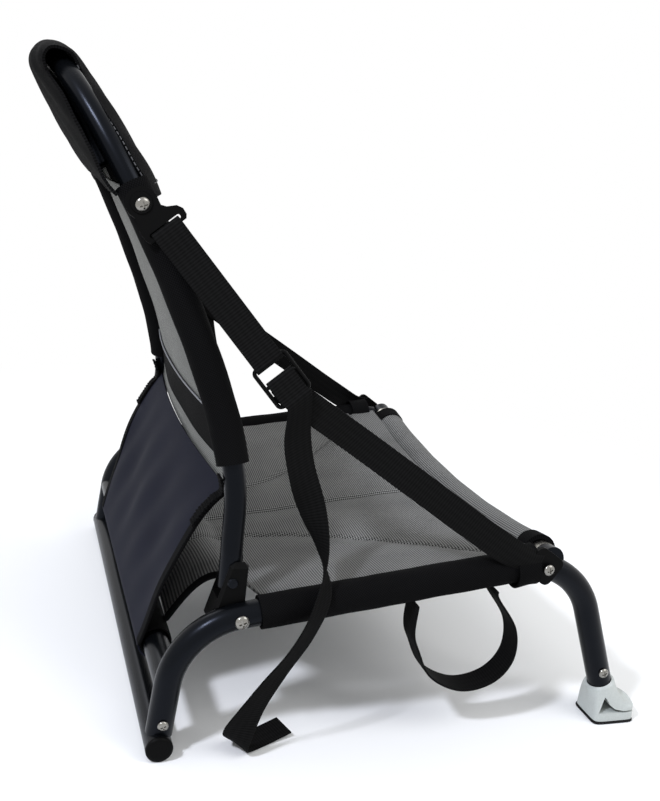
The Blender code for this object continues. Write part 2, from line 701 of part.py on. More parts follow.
def seat_fabric():
    """The mesh sling, its rail sleeves, front pocket, rear sleeve and bindings."""
    front_y = FRONT_BAR_Y + POCKET_R + GAP
    start = TONGUE_END[0]
    ys = [start + (SLEEVE_REAR_Y - 0.004 - start) * k / 5 for k in range(5)]
    ys += [SLEEVE_REAR_Y - 0.004 + (front_y - SLEEVE_REAR_Y + 0.004) * k / 9 for k in range(10)]
    columns = 18
    rows = []
    for y in ys:
        half = seat_half(y)
        row = []
        for c in range(columns + 1):
            x = half * (2 * c / columns - 1)
            row.append((x, y, seat_z(x, y) - seam_dip(x, y)))
        rows.append(row)
    sheet("seat_panel", rows, MESH_T, "seat_mesh")

    for name, side in SIDES.items():
        line = [rail_point(side, SLEEVE_REAR_Y), rail_point(side, SLEEVE_FRONT_Y)]
        pipe(f"side_sleeve_{name}", line, SLEEVE_R, SLEEVE_T, "black_fabric", 4)
        edge = []
        for k in range(11):
            y = SLEEVE_REAR_Y + 0.001 + (start + 0.001 - SLEEVE_REAR_Y) * k / 10
            half = seat_half(y)
            ahead = seat_half(y - 0.002) - seat_half(y + 0.002)
            normal = Vector((0.004, ahead)).normalized()
            reach = BINDING_R + GAP + 0.0008
            edge.append(
                (side * (half + normal.x * reach), y + normal.y * reach, seat_z(half, y))
            )
        rod(f"rear_binding_{name}", edge[1:], BINDING_R, "black_fabric", resolution=1)

    line = [front_bar_point(POCKET_HALF * (k / 4 - 1)) for k in range(9)]
    pipe("front_pocket", line, POCKET_R, POCKET_T, "seat_mesh", 4)
    for name, side in SIDES.items():
        line = [
            front_bar_point(side * (POCKET_HALF + 2 * GAP + BINDING_W * k / 2)) for k in range(3)
        ]
        pipe(f"pocket_binding_{name}", line, POCKET_R, POCKET_T, "black_fabric", 4)
    y, z = CROSS_BAR
    half = APRON_HALF[1]
    pipe("rear_sleeve", [(-half, y, z), (half, y, z)], SLEEVE_R, SLEEVE_T, "black_fabric", 4)


def under_seat_loops():
    """The webbing loops that hang under the side rails, to tie the seat down."""
    for name, side in SIDES.items():
        top = -(SLEEVE_R + GAP + WEB_T / 2)
        rear, front = TIE_ENDS
        knots = [
            rail_point(side, rear, top), rail_point(side, rear, top - WEB),
            *((side * RAIL_X, y, z) for y, z in TIE_LOOP),
            rail_point(side, front - 0.1 * WEB, top - WEB / 3), rail_point(side, front, top),
        ]
        line = smooth(knots, 3)
        ribbon(f"tie_loop_{name}", line, [(1, 0, 0)] * len(line), WEB, WEB_T, "webbing")


# Backrest

def back_frame():
    """The arched backrest tube, cross drilled for its pins and its strap hangers' screws."""
    frame = pipe("back_frame", BACK_LINE, BACK_R, TUBE_WALL, "anodised_tube")
    for name, side in SIDES.items():
        at, out = back_at(HANGER_Z, side), strap_frame(side)[4]
        cut(
            frame,
            pin_hole(f"pivot_hole_{name}", side),
            screw_hole(f"hanger_hole_{name}", at + out * REACH, at),
        )


def back_covers():
    """The fabric sleeves on the backrest's sides."""
    for name, side in SIDES.items():
        line = back_stretch(BACK_SLEEVE_FOOT, PANEL_Z[1], side)
        sleeve = pipe(f"back_sleeve_{name}", line, BACK_SLEEVE_R, BACK_SLEEVE_T, "black_fabric", 4)
        at, out = back_at(HANGER_Z, side), strap_frame(side)[4]
        cut(sleeve, screw_hole(f"sleeve_hole_{name}", at + out * REACH, at))


def back_row(z, columns, bulge, clear):
    """A row of points across the backrest at height z, between its tubes."""
    at = back_at(z)
    lean = (back_at(z + 0.004) - back_at(z - 0.004)).normalized().x
    half = -at.x - clear / math.sqrt(1 - lean * lean) - GAP
    row = []
    for c in range(columns + 1):
        s = 2 * c / columns - 1
        row.append((half * s, at.y + bulge * (1 - s * s), z))
    return row


def back_panels():
    """The rear mesh, the lumbar band under it and the mesh strip below."""
    clear = BACK_SLEEVE_R + GAP
    for name, (low, high), rows, thickness, material in (
        ("back_panel", PANEL_Z, 8, MESH_T, "back_mesh"),
        ("lumbar_band", BAND_Z, 3, MESH_T + 0.0014, "black_fabric"),
    ):
        grid = [
            back_row(low + (high - low) * r / (rows - 1), 12, BACK_BULGE, clear) for r in range(rows)
        ]
        sheet(name, grid, thickness, material)
    bare = BACK_R + 2.5 * GAP
    grid = [
        back_row(STRIP_Z[0] + (STRIP_Z[1] - STRIP_Z[0]) * r / 2, 12, BACK_BULGE, bare + 0.004)
        for r in range(3)
    ]
    sheet("lower_strip", grid, MESH_T, "back_mesh")


def hood_half(z):
    """Half the hood's width at height z, a little more than the tube's arch."""
    arch = BACK_POINTS[-1][2]
    if z >= arch - 0.006:
        return 0.062 + 0.5 * (arch + 0.012 - z)
    return -back_at(min(z, arch - 0.006)).x + BACK_R + 0.004


def hood():
    """The double layer pocket over the top of the arch, open at its sides."""
    top = BACK_POINTS[-1][2] + BACK_R + GAP
    knots = HOOD_FRONT + [(y, top + drop) for y, drop in HOOD_CREST] + HOOD_BACK
    rear_from = len(HOOD_FRONT) + len(HOOD_CREST)
    rows = []
    for k, (y, z) in enumerate(knots):
        half = hood_half(z)
        inwards = HOOD_TUCK * min(1.0, (z - HOOD_BACK[-1][1]) / 0.045) if k >= rear_from else 0.0
        rows.append([
            (half * s, y - inwards * abs(s) ** 4, z - HOOD_FALL * abs(s) ** 3 * max(0.0, (z - 0.50) / 0.04))
            for s in (-1, -0.8, -0.55, -0.28, 0, 0.28, 0.55, 0.8, 1)
        ])
    sheet("hood", rows, MESH_T, "black_fabric", offset=1)


# Side straps

def strap_frame(side):
    """Where a side strap starts and ends, with its directions along, across and outwards."""
    at = back_at(HANGER_Z, side)
    along = Vector((side * STRAP_RUN[0], STRAP_RUN[1], STRAP_RUN[2])).normalized()
    across = Vector((0, along.z, -along.y)).normalized()
    out = along.cross(across) * -side
    start = at + out * (BACK_SLEEVE_R + GAP + STAND_OFF) + along * SLOT_DROP + across * SLOT_LEAD
    return start, start + along * UPPER_LENGTH, along, across, out


def basis(centre, along, across):
    """A frame with X along, Y across and Z out of the strap's face."""
    third = along.cross(across)
    return Matrix.Translation(centre) @ Matrix((along, across, third)).transposed().to_4x4()


def rounded(half_u, half_v, radius, steps=4, centre=(0.0, 0.0)):
    """A rectangle with round corners."""
    loop = []
    for k, (su, sv) in enumerate(((1, 1), (-1, 1), (-1, -1), (1, -1))):
        for i in range(steps + 1):
            angle = math.pi / 2 * (k + i / steps)
            loop.append((
                centre[0] + su * (half_u - radius) + radius * math.cos(angle),
                centre[1] + sv * (half_v - radius) + radius * math.sin(angle),
            ))
    return loop


def hangers():
    """The plates that carry the side straps on the backrest, with their screws and washers."""
    half_slot, pad_r = WEB / 2 + 0.0015, 0.0125
    pad = [
        (-SLOT_DROP + pad_r * math.cos(math.radians(a)), -SLOT_LEAD + pad_r * math.sin(math.radians(a)))
        for a in range(50, 301, 25)
    ]
    outline = [
        (SLOT_BAR, -half_slot - 0.0025), (SLOT_BAR, half_slot + 0.0025), (-0.0010, half_slot + 0.0045),
        (-0.0060, half_slot + 0.0050), (-0.0105, half_slot + 0.0025), (-0.0140, half_slot - 0.004),
        *pad, (-0.0115, -half_slot - 0.0038), (-0.0035, -half_slot - 0.0045),
    ]
    slot = rounded(0.0018, half_slot, 0.0015, centre=(-SLOT_BAR - 0.0018, 0.0))
    for name, side in SIDES.items():
        start, _, along, across, out = strap_frame(side)
        frame = basis(start, along, across)
        plate = outline_solid(f"strap_hanger_{name}", [outline, slot], HANGER_T, frame, "moulded_black")
        at = back_at(HANGER_Z, side)
        foot = at + out * (BACK_SLEEVE_R + GAP)
        boss = cylinder(f"hanger_boss_{name}", foot, foot + out * STAND_OFF, BOSS_R, CUTTERS, 20)
        boss.hide_render = True
        boss.display_type = "WIRE"
        modified(plate, "BOOLEAN", operation="UNION", solver="EXACT", object=boss)
        cut(plate, screw_hole(f"plate_hole_{name}", at + out * REACH, at))
        washer = [
            (SCREW_R + GAP, 0.0009), (0.0082, 0.0009), (0.0086, 0.0), (SCREW_R + GAP, 0.0),
            (SCREW_R + GAP, 0.0009),
        ]
        face = foot + out * (STAND_OFF + HANGER_T / 2 + GAP)
        turn = out.to_track_quat("Z", "Y").to_matrix().to_4x4()
        turned(f"hanger_washer_{name}", washer, Matrix.Translation(face) @ turn, "steel", 16)
        screw(f"hanger_screw_{name}", face + out * (0.0009 + GAP), out, 0.016)


def eye_loop(half_length, thickness, eye):
    """Side outline of a strap doubled round a bar at each end: a long loop that is pinched flat."""
    outer, inner = [], []
    for sign, begin in ((1, -math.pi / 2), (-1, math.pi / 2)):
        for k in range(9):
            angle = begin + math.pi * k / 8
            outer.append((
                sign * half_length + (eye + thickness) * math.cos(angle),
                (eye + thickness) * math.sin(angle),
            ))
            inner.append((sign * half_length + eye * math.cos(angle), eye * math.sin(angle)))
    return outer, inner[:9], inner[9:]


def doubled_strap(name, start, end, across, material):
    """A strap sewn double, with an eye at each end."""
    along = (end - start).normalized()
    half = (end - start).length / 2
    frame = Matrix.Translation((start + end) / 2) @ Matrix(
        (along, along.cross(across), -across)
    ).transposed().to_4x4()
    outer, eye_a, eye_b = eye_loop(half, WEB_T, EYE_R)
    layers = WEB_T + 0.0002
    neck = [(half - 0.012, layers), (-half + 0.012, layers)]
    outline = outer[:9] + neck + outer[9:] + [(-u, -v) for u, v in neck]
    holes = [eye_a + [(half - 0.007, 0.0)], eye_b + [(-half + 0.007, 0.0)]]
    return outline_solid(name, [outline, *holes], WEB, frame, material)


def straps():
    """Upper straps, ladder buckles, and lower straps with their anchors."""
    for name, side in SIDES.items():
        start, end, along, across, out = strap_frame(side)
        doubled_strap(f"upper_strap_{name}", start, end, across, "webbing")

        centre = end + along * (BUCKLE_L / 2 - SLOT_BAR)
        half_slot = WEB / 2 + 0.0012
        first = -BUCKLE_L / 2 + 2 * SLOT_BAR
        loops = [
            rounded(BUCKLE_L / 2, BUCKLE_W / 2, 0.004, steps=3),
            rounded(0.0050, half_slot, 0.001, steps=2, centre=(first + 0.0050, 0.0)),
            rounded(0.0046, half_slot, 0.001, steps=2, centre=(first + 0.0190, 0.0)),
        ]
        outline_solid(
            f"ladder_buckle_{name}", loops, BUCKLE_T, basis(centre, along, across), "moulded_black"
        )

        behind = BUCKLE_T / 2 + GAP + WEB_T / 2
        anchor_x = side * (RAIL_X + RAIL_R + GAP + ANCHOR_T + GAP + WEB_T / 2)
        anchor_z = rail_z(ANCHOR_SCREW_Y)
        fall = Vector((0, -0.836, -0.549))
        lift = Vector((0, -0.549, 0.836))
        knots = [
            centre + along * (BUCKLE_L / 2 - 0.004) - out * behind,
            *((side * x, y, z) for x, y, z in LOWER_STRAP), (anchor_x, *LOWER_STRAP_END),
            (anchor_x, ANCHOR_SCREW_Y, anchor_z), Vector((anchor_x, ANCHOR_SCREW_Y, anchor_z)) + fall * 0.0095,
        ]
        line = smooth(knots, 3)
        widths = [across.lerp(lift, min(1.0, k / 6)) for k in range(len(line))]
        strap = ribbon(f"lower_strap_{name}", line, widths, WEB, WEB_T, "webbing")
        inside = (side * RAIL_X, ANCHOR_SCREW_Y, anchor_z)
        outside = (anchor_x + side * 0.01, ANCHOR_SCREW_Y, anchor_z)
        cut(strap, screw_hole(f"strap_hole_{name}", outside, inside))
        plate_at = Vector((anchor_x - side * (WEB_T / 2 + GAP + ANCHOR_T / 2), ANCHOR_SCREW_Y, anchor_z))
        plate = outline_solid(
            f"strap_anchor_{name}", [rounded(0.0155, 0.0135, 0.0060, steps=3)], ANCHOR_T,
            basis(plate_at - fall * 0.004, fall, lift), "moulded_black",
        )
        cut(plate, screw_hole(f"anchor_plate_hole_{name}", outside, inside))


def tails():
    """The loose ends of the side straps, which twist as they hang down to the floor."""
    for name, side in SIDES.items():
        _, end, along, across, out = strap_frame(side)
        root = end + along * (BUCKLE_L - SLOT_BAR) + out * (BUCKLE_T / 2 + GAP + WEB_T / 2)
        knots = [
            root - along * 0.003, root + along * 0.004, *((side * x, y, z) for x, y, z in TAIL),
        ]
        turns = [across, across, *((side * x, y, z) for x, y, z in TAIL_TURNS)]
        ribbon(f"strap_tail_{name}", smooth(knots, 2), smooth(turns, 2), WEB * 0.92, WEB_T * 0.8, "webbing")


def elastics():
    """The gathered elastic edges that draw the apron's upper corners to the backrest's tube."""
    for name, side in SIDES.items():
        high, low = STRIP_Z[1] - 0.002, STRIP_Z[0] - 0.024
        at = back_at(high, side)
        start = Vector((at.x - side * BACK_R * 0.6, at.y + BACK_R + GAP + ELASTIC_W * 0.32, high))
        end = Vector((side * (APRON_HALF[0] + ELASTIC_T), start.y + ELASTIC_W * 1.35, low))
        middle = start.lerp(end, 0.5) + Vector((0, 0.0015, 0.002))
        line = smooth([start, middle, end], 3)
        ribbon(f"apron_elastic_{name}", line, [(0, 1, 0.2)] * len(line), ELASTIC_W, ELASTIC_T, "black_fabric")


def apron():
    """The lower back panel from the backrest's lower edge to the rear cross bar."""
    top_z = STRIP_Z[0] - 0.0012
    reach = SLEEVE_R + GAP + APRON_T / 2
    start = Vector((0, back_at(top_z).y + BACK_BULGE + 0.006, top_z))
    rows = []
    for k in range(9):
        t = k / 8
        half = APRON_HALF[0] + (APRON_HALF[1] - APRON_HALF[0]) * t
        y = start.y + (CROSS_BAR[0] + reach - start.y) * t**0.85
        z = start.z + (CROSS_BAR[1] - start.z) * t
        rows.append([(half * s, y, z) for s in (-1, -0.66, -0.33, 0, 0.33, 0.66, 1)])
    for angle in (30, 60, 90, 120):
        a = math.radians(angle)
        rows.append([
            (APRON_HALF[1] * s, CROSS_BAR[0] + reach * math.cos(a), CROSS_BAR[1] - reach * math.sin(a))
            for s in (-1, -0.66, -0.33, 0, 0.33, 0.66, 1)
        ])
    sheet("apron", rows, APRON_T, "navy_fabric")


floor_bar()
side_rails()
cross_bars()
feet()
pivots()
seat_fabric()
under_seat_loops()
back_frame()
back_covers()
back_panels()
hood()
hangers()
straps()
tails()
elastics()
apron()

# The origin goes under the middle of the seat's length, between its toes and the hood's back
ORIGIN_Y = (FOOT_HEEL_Y - FOOT_LENGTH - FOOT_LIP + HOOD_REAR_Y + MESH_T) / 2
for group in (PARTS, CUTTERS):
    for thing in group.objects:
        thing.location.y -= ORIGIN_Y
bpy.context.view_layer.update()
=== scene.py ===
# %% [markdown]
# # A framed kayak seat
# A kayak seat of this kind is a tube base with a mesh sling, and a tube arch with a mesh back that folds
# forward on it. Two webbing straps hold the back up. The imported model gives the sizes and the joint;
# this script dresses it: tubes with smooth bends, woven meshes, webbing, screws and moulded clips.

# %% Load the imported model
import json
import math

import bpy
from mathutils import Matrix, Vector


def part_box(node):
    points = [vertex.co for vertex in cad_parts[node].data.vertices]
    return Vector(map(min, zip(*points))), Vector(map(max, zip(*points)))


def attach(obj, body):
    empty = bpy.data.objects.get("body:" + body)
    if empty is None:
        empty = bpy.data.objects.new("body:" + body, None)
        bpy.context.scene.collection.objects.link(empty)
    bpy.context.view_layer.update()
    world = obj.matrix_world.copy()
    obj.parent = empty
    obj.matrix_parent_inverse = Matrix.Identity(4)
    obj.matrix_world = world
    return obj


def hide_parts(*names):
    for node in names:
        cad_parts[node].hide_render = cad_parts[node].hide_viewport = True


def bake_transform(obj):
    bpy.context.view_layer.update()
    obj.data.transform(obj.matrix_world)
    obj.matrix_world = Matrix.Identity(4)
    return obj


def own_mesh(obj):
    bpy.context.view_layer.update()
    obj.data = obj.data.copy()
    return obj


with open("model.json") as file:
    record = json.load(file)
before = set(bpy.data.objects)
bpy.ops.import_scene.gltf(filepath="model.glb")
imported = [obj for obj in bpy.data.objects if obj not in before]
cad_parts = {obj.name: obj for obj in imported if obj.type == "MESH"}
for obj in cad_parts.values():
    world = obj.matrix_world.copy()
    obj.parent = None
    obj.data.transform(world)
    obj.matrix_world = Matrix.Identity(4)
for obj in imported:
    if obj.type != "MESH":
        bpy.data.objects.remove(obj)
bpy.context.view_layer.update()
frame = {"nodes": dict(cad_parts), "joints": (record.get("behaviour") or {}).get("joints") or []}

# %% [markdown]
# ## Measures taken from the frame
# The floor bar is the datum: every place below is written from the bar's middle line, as a fitter would
# measure the seat on a bench, and each finished piece is then moved to the frame's own origin. All measures
# are in metres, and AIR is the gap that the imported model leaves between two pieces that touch.

# %% Measures
bar_low, bar_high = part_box("rear_floor_bar")
rail_low, rail_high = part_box("side_rail_left")
cross_low, cross_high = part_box("rear_cross_bar")
DATUM = Vector((0, (bar_low.y + bar_high.y) / 2, 0))
BAR_END = bar_high.x
RAIL_R = (bar_high.z - bar_low.z) / 2
RAIL_X = (rail_low.x + rail_high.x) / 2
CROSS = (cross_low + cross_high) / 2 - DATUM
HINGE = Vector(frame["joints"][0]["pos_m"]) - DATUM
HINGE_X = 0.200
BACK_R = 0.009
WEB, WEB_T = 0.025, 0.0018
AIR = 0.0003
SIDES = {"right": -1, "left": 1}
print("rail", RAIL_X, RAIL_R, "datum", DATUM.y, "hinge", tuple(HINGE))


# %% [markdown]
# ## Small helpers
# Colours are written as the sRGB hex values that a painter would read off the seat, and one function turns
# them to the linear values that Blender mixes. One more adds a shader node with its settings and links, and
# the last gives a material its two colours and its relief, which is how most finishes here end.

# %% Colour and node helpers
def linear(code):
    """An sRGB hex colour as linear RGBA."""
    values = [int(code[i : i + 2], 16) / 255 for i in (1, 3, 5)]
    return [v / 12.92 if v <= 0.04045 else ((v + 0.055) / 1.055) ** 2.4 for v in values] + [1.0]


def add_node(tree, kind, **values):
    """A shader node. A value is one of its settings, or an input by its name or by i and its number."""
    node = tree.nodes.new("ShaderNode" + kind)
    for key, value in values.items():
        if hasattr(node, key):
            setattr(node, key, value)
            continue
        socket = node.inputs[int(key[1:]) if key[1:].isdigit() else key.replace("_", " ")]
        if isinstance(value, bpy.types.NodeSocket):
            tree.links.new(value, socket)
        else:
            socket.default_value = value
    return node


def new_material(name, roughness, metallic=0.0, **sockets):
    """A material with its shader and tree."""
    material = bpy.data.materials.new(name)
    material.use_nodes = True
    tree = material.node_tree
    shader = tree.nodes["Principled BSDF"]
    shader.inputs["Roughness"].default_value = roughness
    shader.inputs["Metallic"].default_value = metallic
    for key, value in sockets.items():
        shader.inputs[key.replace("_", " ")].default_value = value
    return material, tree, shader


def set_surface(tree, shader, share, dark, light, height, depth, strength):
    """Colour between two hex codes, and relief whose depth is in metres."""
    mix = add_node(tree, "Mix", data_type="RGBA", i0=share, i6=linear(dark), i7=linear(light))
    bump = add_node(tree, "Bump", Height=height, Distance=depth, Strength=strength)
    tree.links.new(mix.outputs[2], shader.inputs["Base Color"])
    tree.links.new(bump.outputs["Normal"], shader.inputs["Normal"])


# %% [markdown]
# ## Finishes
# Hard parts first. The tube is aluminium with a black satin coat: nearly black, with soft bluish highlights.
# The clips and buckles are moulded nylon, a little rougher, the screws are plain stainless steel with the
# faint marks of turning, and the soles are dull rubber.

# %% Tube, nylon, steel and rubber
def speckled(name, dark, light, roughness, grain, depth, **sockets):
    """A moulded or coated finish: two close colours in a fine grain that also roughens the surface."""
    material, tree, shader = new_material(name, roughness, **sockets)
    place = add_node(tree, "TexCoord").outputs["Object"]
    fine = add_node(tree, "TexNoise", Vector=place, Scale=1 / grain, Detail=4.0)
    broad = add_node(tree, "TexNoise", Vector=place, Scale=18.0, Detail=2.0)
    fine, broad = fine.outputs["Fac"], broad.outputs["Fac"]
    half = add_node(tree, "Math", operation="MULTIPLY", i0=fine, i1=0.5).outputs[0]
    shade = add_node(tree, "Math", operation="MULTIPLY_ADD", i0=broad, i1=0.5, i2=half).outputs[0]
    set_surface(tree, shader, shade, dark, light, fine, depth, 0.6)
    return material


TUBE = speckled("black_coated_aluminium", "#030405", "#08090b", 0.27, 0.0009, 0.00002,
                Specular_IOR_Level=0.15, Specular_Tint=linear("#cdd6ec"))
NYLON = speckled("black_moulded_nylon", "#040404", "#090909", 0.45, 0.0012, 0.00006,
                Specular_IOR_Level=0.05)
PALE_NYLON = speckled("pale_grey_nylon", "#9da29f", "#c3c8c5", 0.42, 0.0016, 0.00006)
RUBBER = speckled("black_rubber", "#0a0a0a", "#141414", 0.8, 0.0010, 0.00008, Specular_IOR_Level=0.2)


def steel():
    """Stainless steel with faint turning marks."""
    material, tree, shader = new_material("stainless_steel", 0.26, 1.0)
    place = add_node(tree, "TexCoord").outputs["Object"]
    grain = add_node(tree, "TexNoise", Vector=place, Scale=900.0, Detail=3.0)
    shader.inputs["Base Color"].default_value = linear("#8b8984")
    bump = add_node(tree, "Bump", Height=grain.outputs["Fac"], Distance=0.00004, Strength=0.5)
    tree.links.new(bump.outputs["Normal"], shader.inputs["Normal"])
    return material


STEEL = steel()


# %% [markdown]
# ## Woven finishes
# Every cloth piece carries its own map in metres, so one thread spacing is true on all of them. A weave is
# the product of two sine waves: across the diagonals it gives the small diamonds of coated mesh, and along
# the threads the grid of plain nylon. The real mesh has a thread about every 1.1 mm. It is drawn coarser, so
# that it shows: its diagonal waves are 3 mm long on the seat and 2.5 mm on the back. The black cloth is
# drawn at 2.3 mm and the navy cloth at 1.6 mm for the same reason.

# %% Weaves
def wave(tree, distance, period):
    """A sine wave over a distance in metres."""
    angle = add_node(tree, "Math", operation="MULTIPLY", i0=distance, i1=2 * math.pi / period).outputs[0]
    return add_node(tree, "Math", operation="SINE", i0=angle).outputs[0]


def cloth_ways(tree):
    """The cloth's own map in metres: across it and along it."""
    cloth_map = add_node(tree, "UVMap").outputs["UV"]
    parts = add_node(tree, "SeparateXYZ", Vector=cloth_map).outputs
    return parts[0], parts[1]


def woven(name, dark, light, period, turn, roughness, depth, contrast=1.0, **sockets):
    """Cloth whose two threads differ in colour and stand at different heights."""
    material, tree, shader = new_material(name, roughness, **sockets)
    ways = cloth_ways(tree)
    if turn:
        ways = [add_node(tree, "Math", operation=sum_of, i0=ways[0], i1=ways[1]).outputs[0]
                for sum_of in ("ADD", "SUBTRACT")]
    one, two = (wave(tree, way, period) for way in ways)
    crossing = add_node(tree, "Math", operation="MULTIPLY", i0=one, i1=two).outputs[0]
    lift = add_node(tree, "Math", operation="MULTIPLY_ADD", i0=crossing, i1=0.5 * contrast, i2=0.5).outputs[0]
    lift = add_node(tree, "MapRange", interpolation_type="SMOOTHSTEP", i0=lift, i1=0.2,
                    i2=0.85).outputs[0]
    place = add_node(tree, "TexCoord").outputs["Object"]
    fade = add_node(tree, "TexNoise", Vector=place, Scale=22.0, Detail=3.0)
    worn = add_node(tree, "Math", operation="MULTIPLY_ADD", i0=fade.outputs["Fac"], i1=0.7, i2=0.65).outputs[0]
    share = add_node(tree, "Math", operation="MULTIPLY", i0=lift, i1=worn).outputs[0]
    set_surface(tree, shader, share, dark, light, lift, depth, 0.7)
    return material


SEAT_MESH = woven("seat_coated_mesh", "#080808", "#868684", 0.0042, True, 0.62, 0.0003,
                  Specular_IOR_Level=0.15)
BACK_MESH = woven("back_coated_mesh", "#2a2b2b", "#82837f", 0.0036, True, 0.6, 0.0002,
                  Specular_IOR_Level=0.15)
BLACK_CLOTH = woven("black_nylon_cloth", "#050505", "#111112", 0.0023, False, 0.8, 0.0002,
                    Specular_IOR_Level=0.03)
NAVY_CLOTH = woven("navy_oxford_cloth", "#0f1018", "#1a1c29", 0.0016, False, 0.75, 0.0001, 0.5,
                   Specular_IOR_Level=0.08)


# %% [markdown]
# ## Webbing and thread
# Webbing is woven narrow, with ribs across it and a few cords along it. Two waves over the strap's own length
# and width draw it: ribs of 2.4 mm and softer cords of 6 mm. The thread is thick grey nylon.

# %% Webbing and thread
def webbing():
    """Woven strap: ribs across the strap and softer cords along it."""
    material, tree, shader = new_material("black_webbing", 0.75, Specular_IOR_Level=0.04)
    across, onwards = cloth_ways(tree)
    rib, cord = wave(tree, onwards, 0.0024), wave(tree, across, 0.0060)
    lift = add_node(tree, "Math", operation="MULTIPLY_ADD", i0=cord, i1=0.08, i2=0.5).outputs[0]
    lift = add_node(tree, "Math", operation="MULTIPLY_ADD", i0=rib, i1=0.30, i2=lift).outputs[0]
    set_surface(tree, shader, lift, "#050505", "#151515", lift, 0.0002, 0.6)
    return material


WEBBING = webbing()
THREAD = speckled("grey_thread", "#3c3c3d", "#5a5a5b", 0.6, 0.0006, 0.00005, Specular_IOR_Level=0.15)


# %% [markdown]
# ## Lines
# Three kinds of line carry every piece: a bent tube's straight runs with round bends, the arch of the back,
# and the free curve of a strap. Each is a plain list of points, so tubes, sleeves and straps share them.

# %% Line helpers
def smooth(points, per_span=8):
    """A smooth chain of points through the given ones."""
    points = [Vector(point) for point in points]
    ends = [2 * points[0] - points[1], *points, 2 * points[-1] - points[-2]]
    chain = []
    for i in range(1, len(ends) - 2):
        a, b, c, d = ends[i - 1 : i + 3]
        for k in range(per_span):
            t = k / per_span
            chain.append(0.5 * (2 * b + (c - a) * t + (2 * a - 5 * b + 4 * c - d) * t * t
                                + (3 * b - a - 3 * c + d) * t**3))
    return chain + [points[-1]]


def filleted(corners, radii, steps=20):
    """Straight runs whose inner corners are round."""
    corners = [Vector(corner) for corner in corners]
    chain = [corners[0]]
    for before, corner, after, radius in zip(corners, corners[1:], corners[2:], radii):
        inward, outward = (before - corner).normalized(), (after - corner).normalized()
        half = inward.angle(outward) / 2
        centre = corner + (inward + outward).normalized() * (radius / math.sin(half))
        start = corner + inward * (radius / math.tan(half)) - centre
        end = corner + outward * (radius / math.tan(half)) - centre
        turn = start.angle(end)
        for k in range(steps + 1):
            share = turn * k / steps
            chain.append(centre + (start * math.sin(turn - share) + end * math.sin(share)) / math.sin(turn))
    return chain + [corners[-1]]


def length_of(chain):
    """A chain's length."""
    return sum((b - a).length for a, b in zip(chain, chain[1:]))


def along(chain):
    """A function from a share of a chain's length to its point there."""
    marks = [0.0]
    for a, b in zip(chain, chain[1:]):
        marks.append(marks[-1] + (b - a).length)

    def point(share):
        want = min(max(share, 0.0), 1.0) * marks[-1]
        i = next((i for i in range(1, len(marks)) if want <= marks[i]), len(marks) - 1)
        span = marks[i] - marks[i - 1] or 1.0
        return chain[i - 1].lerp(chain[i], (want - marks[i - 1]) / span)

    return point


# %% [markdown]
# ## The seat's own lines
# A side rail rises from the floor bar with a slight lean, bends, slopes down to the front and bends again to
# its leg. The front cross bar bows down in the middle as the mesh's sag does. The arch of the back is one
# smooth curve through points read off one half of it, and mirrored.

# %% Rails, front bar and arch
RAIL_SLOPE = math.tan(math.radians(8.6))
RAIL_RISE, RISE_AT = 0.1094, -0.07
REAR_LEAN, LEG_LEAN = math.tan(math.radians(5.2)), math.radians(22.3)
BEND_Y, BEND_RADII = -0.357, (0.0645, 0.0735)
LEG_BOTTOM = 0.0245
FRONT_Y = -0.3345
SAG = 0.020


def rail_z(y):
    """Height of a side rail's straight run at y."""
    return RAIL_R + RAIL_RISE - RAIL_SLOPE * (y - RISE_AT)


def rail_line(side):
    """A side rail from the floor bar to its foot."""
    rise = (rail_z(0.0) - RAIL_R) / (1 - RAIL_SLOPE * REAR_LEAN)
    corner_z = rail_z(BEND_Y)
    reach = math.tan(LEG_LEAN) * (corner_z - LEG_BOTTOM)
    x = side * RAIL_X
    corners = [
        (x, -REAR_LEAN * RAIL_R, 1.6 * RAIL_R), (x, -REAR_LEAN * rise, RAIL_R + rise), (x, BEND_Y, corner_z),
        (x, BEND_Y - reach, LEG_BOTTOM),
    ]
    return filleted(corners, BEND_RADII)


def rail_run(side, start, length, steps):
    """Points along a rail's straight run, forwards from y at start."""
    ys = [start - length * k / steps for k in range(steps + 1)]
    return [Vector((side * RAIL_X, y, rail_z(y))) for y in ys]


def front_bar(x):
    """The bowed cross bar at the front."""
    return Vector((x, FRONT_Y, rail_z(FRONT_Y) - SAG * (1 - (x / RAIL_X) ** 2)))


BACK_HALF = [
    (-HINGE_X, HINGE.y, HINGE.z - 0.008), (-HINGE_X, HINGE.y, HINGE.z + 0.020), (-0.1850, -0.0505, 0.222),
    (-0.1670, -0.0340, 0.286), (-0.1470, -0.0010, 0.364), (-0.1290, 0.0290, 0.424), (-0.1070, 0.0560, 0.471),
    (-0.0760, 0.0785, 0.506), (-0.0400, 0.0900, 0.522), (0.0, 0.0935, 0.5265),
]
BACK_CHAIN = [Vector(BACK_HALF[0])] + smooth(
    BACK_HALF[1:] + [(-x, y, z) for x, y, z in reversed(BACK_HALF[1:-1])], 12
) + [Vector((HINGE_X, HINGE.y, HINGE.z - 0.008))]


def back_at(z, side=-1):
    """The back tube's middle line at height z."""
    half = BACK_CHAIN[: len(BACK_CHAIN) // 2 + 1]
    z = min(max(z, half[0].z), half[-1].z)
    low, high = next(pair for pair in zip(half, half[1:]) if pair[0].z <= z <= pair[1].z)
    point = low.lerp(high, (z - low.z) / max(high.z - low.z, 1e-9))
    return Vector((-side * point.x, point.y, point.z))


# %% [markdown]
# ## Making pieces
# A metal tube is a path curve with a round bevel, made a mesh. Cloth is a grid whose points are moved to
# where the cloth lies; its map keeps real metres, so the weave has one scale everywhere. A sleeve is the same grid
# rolled round a line. Each finished piece is settled: moved to the frame's origin, given its finish, its body
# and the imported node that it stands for.

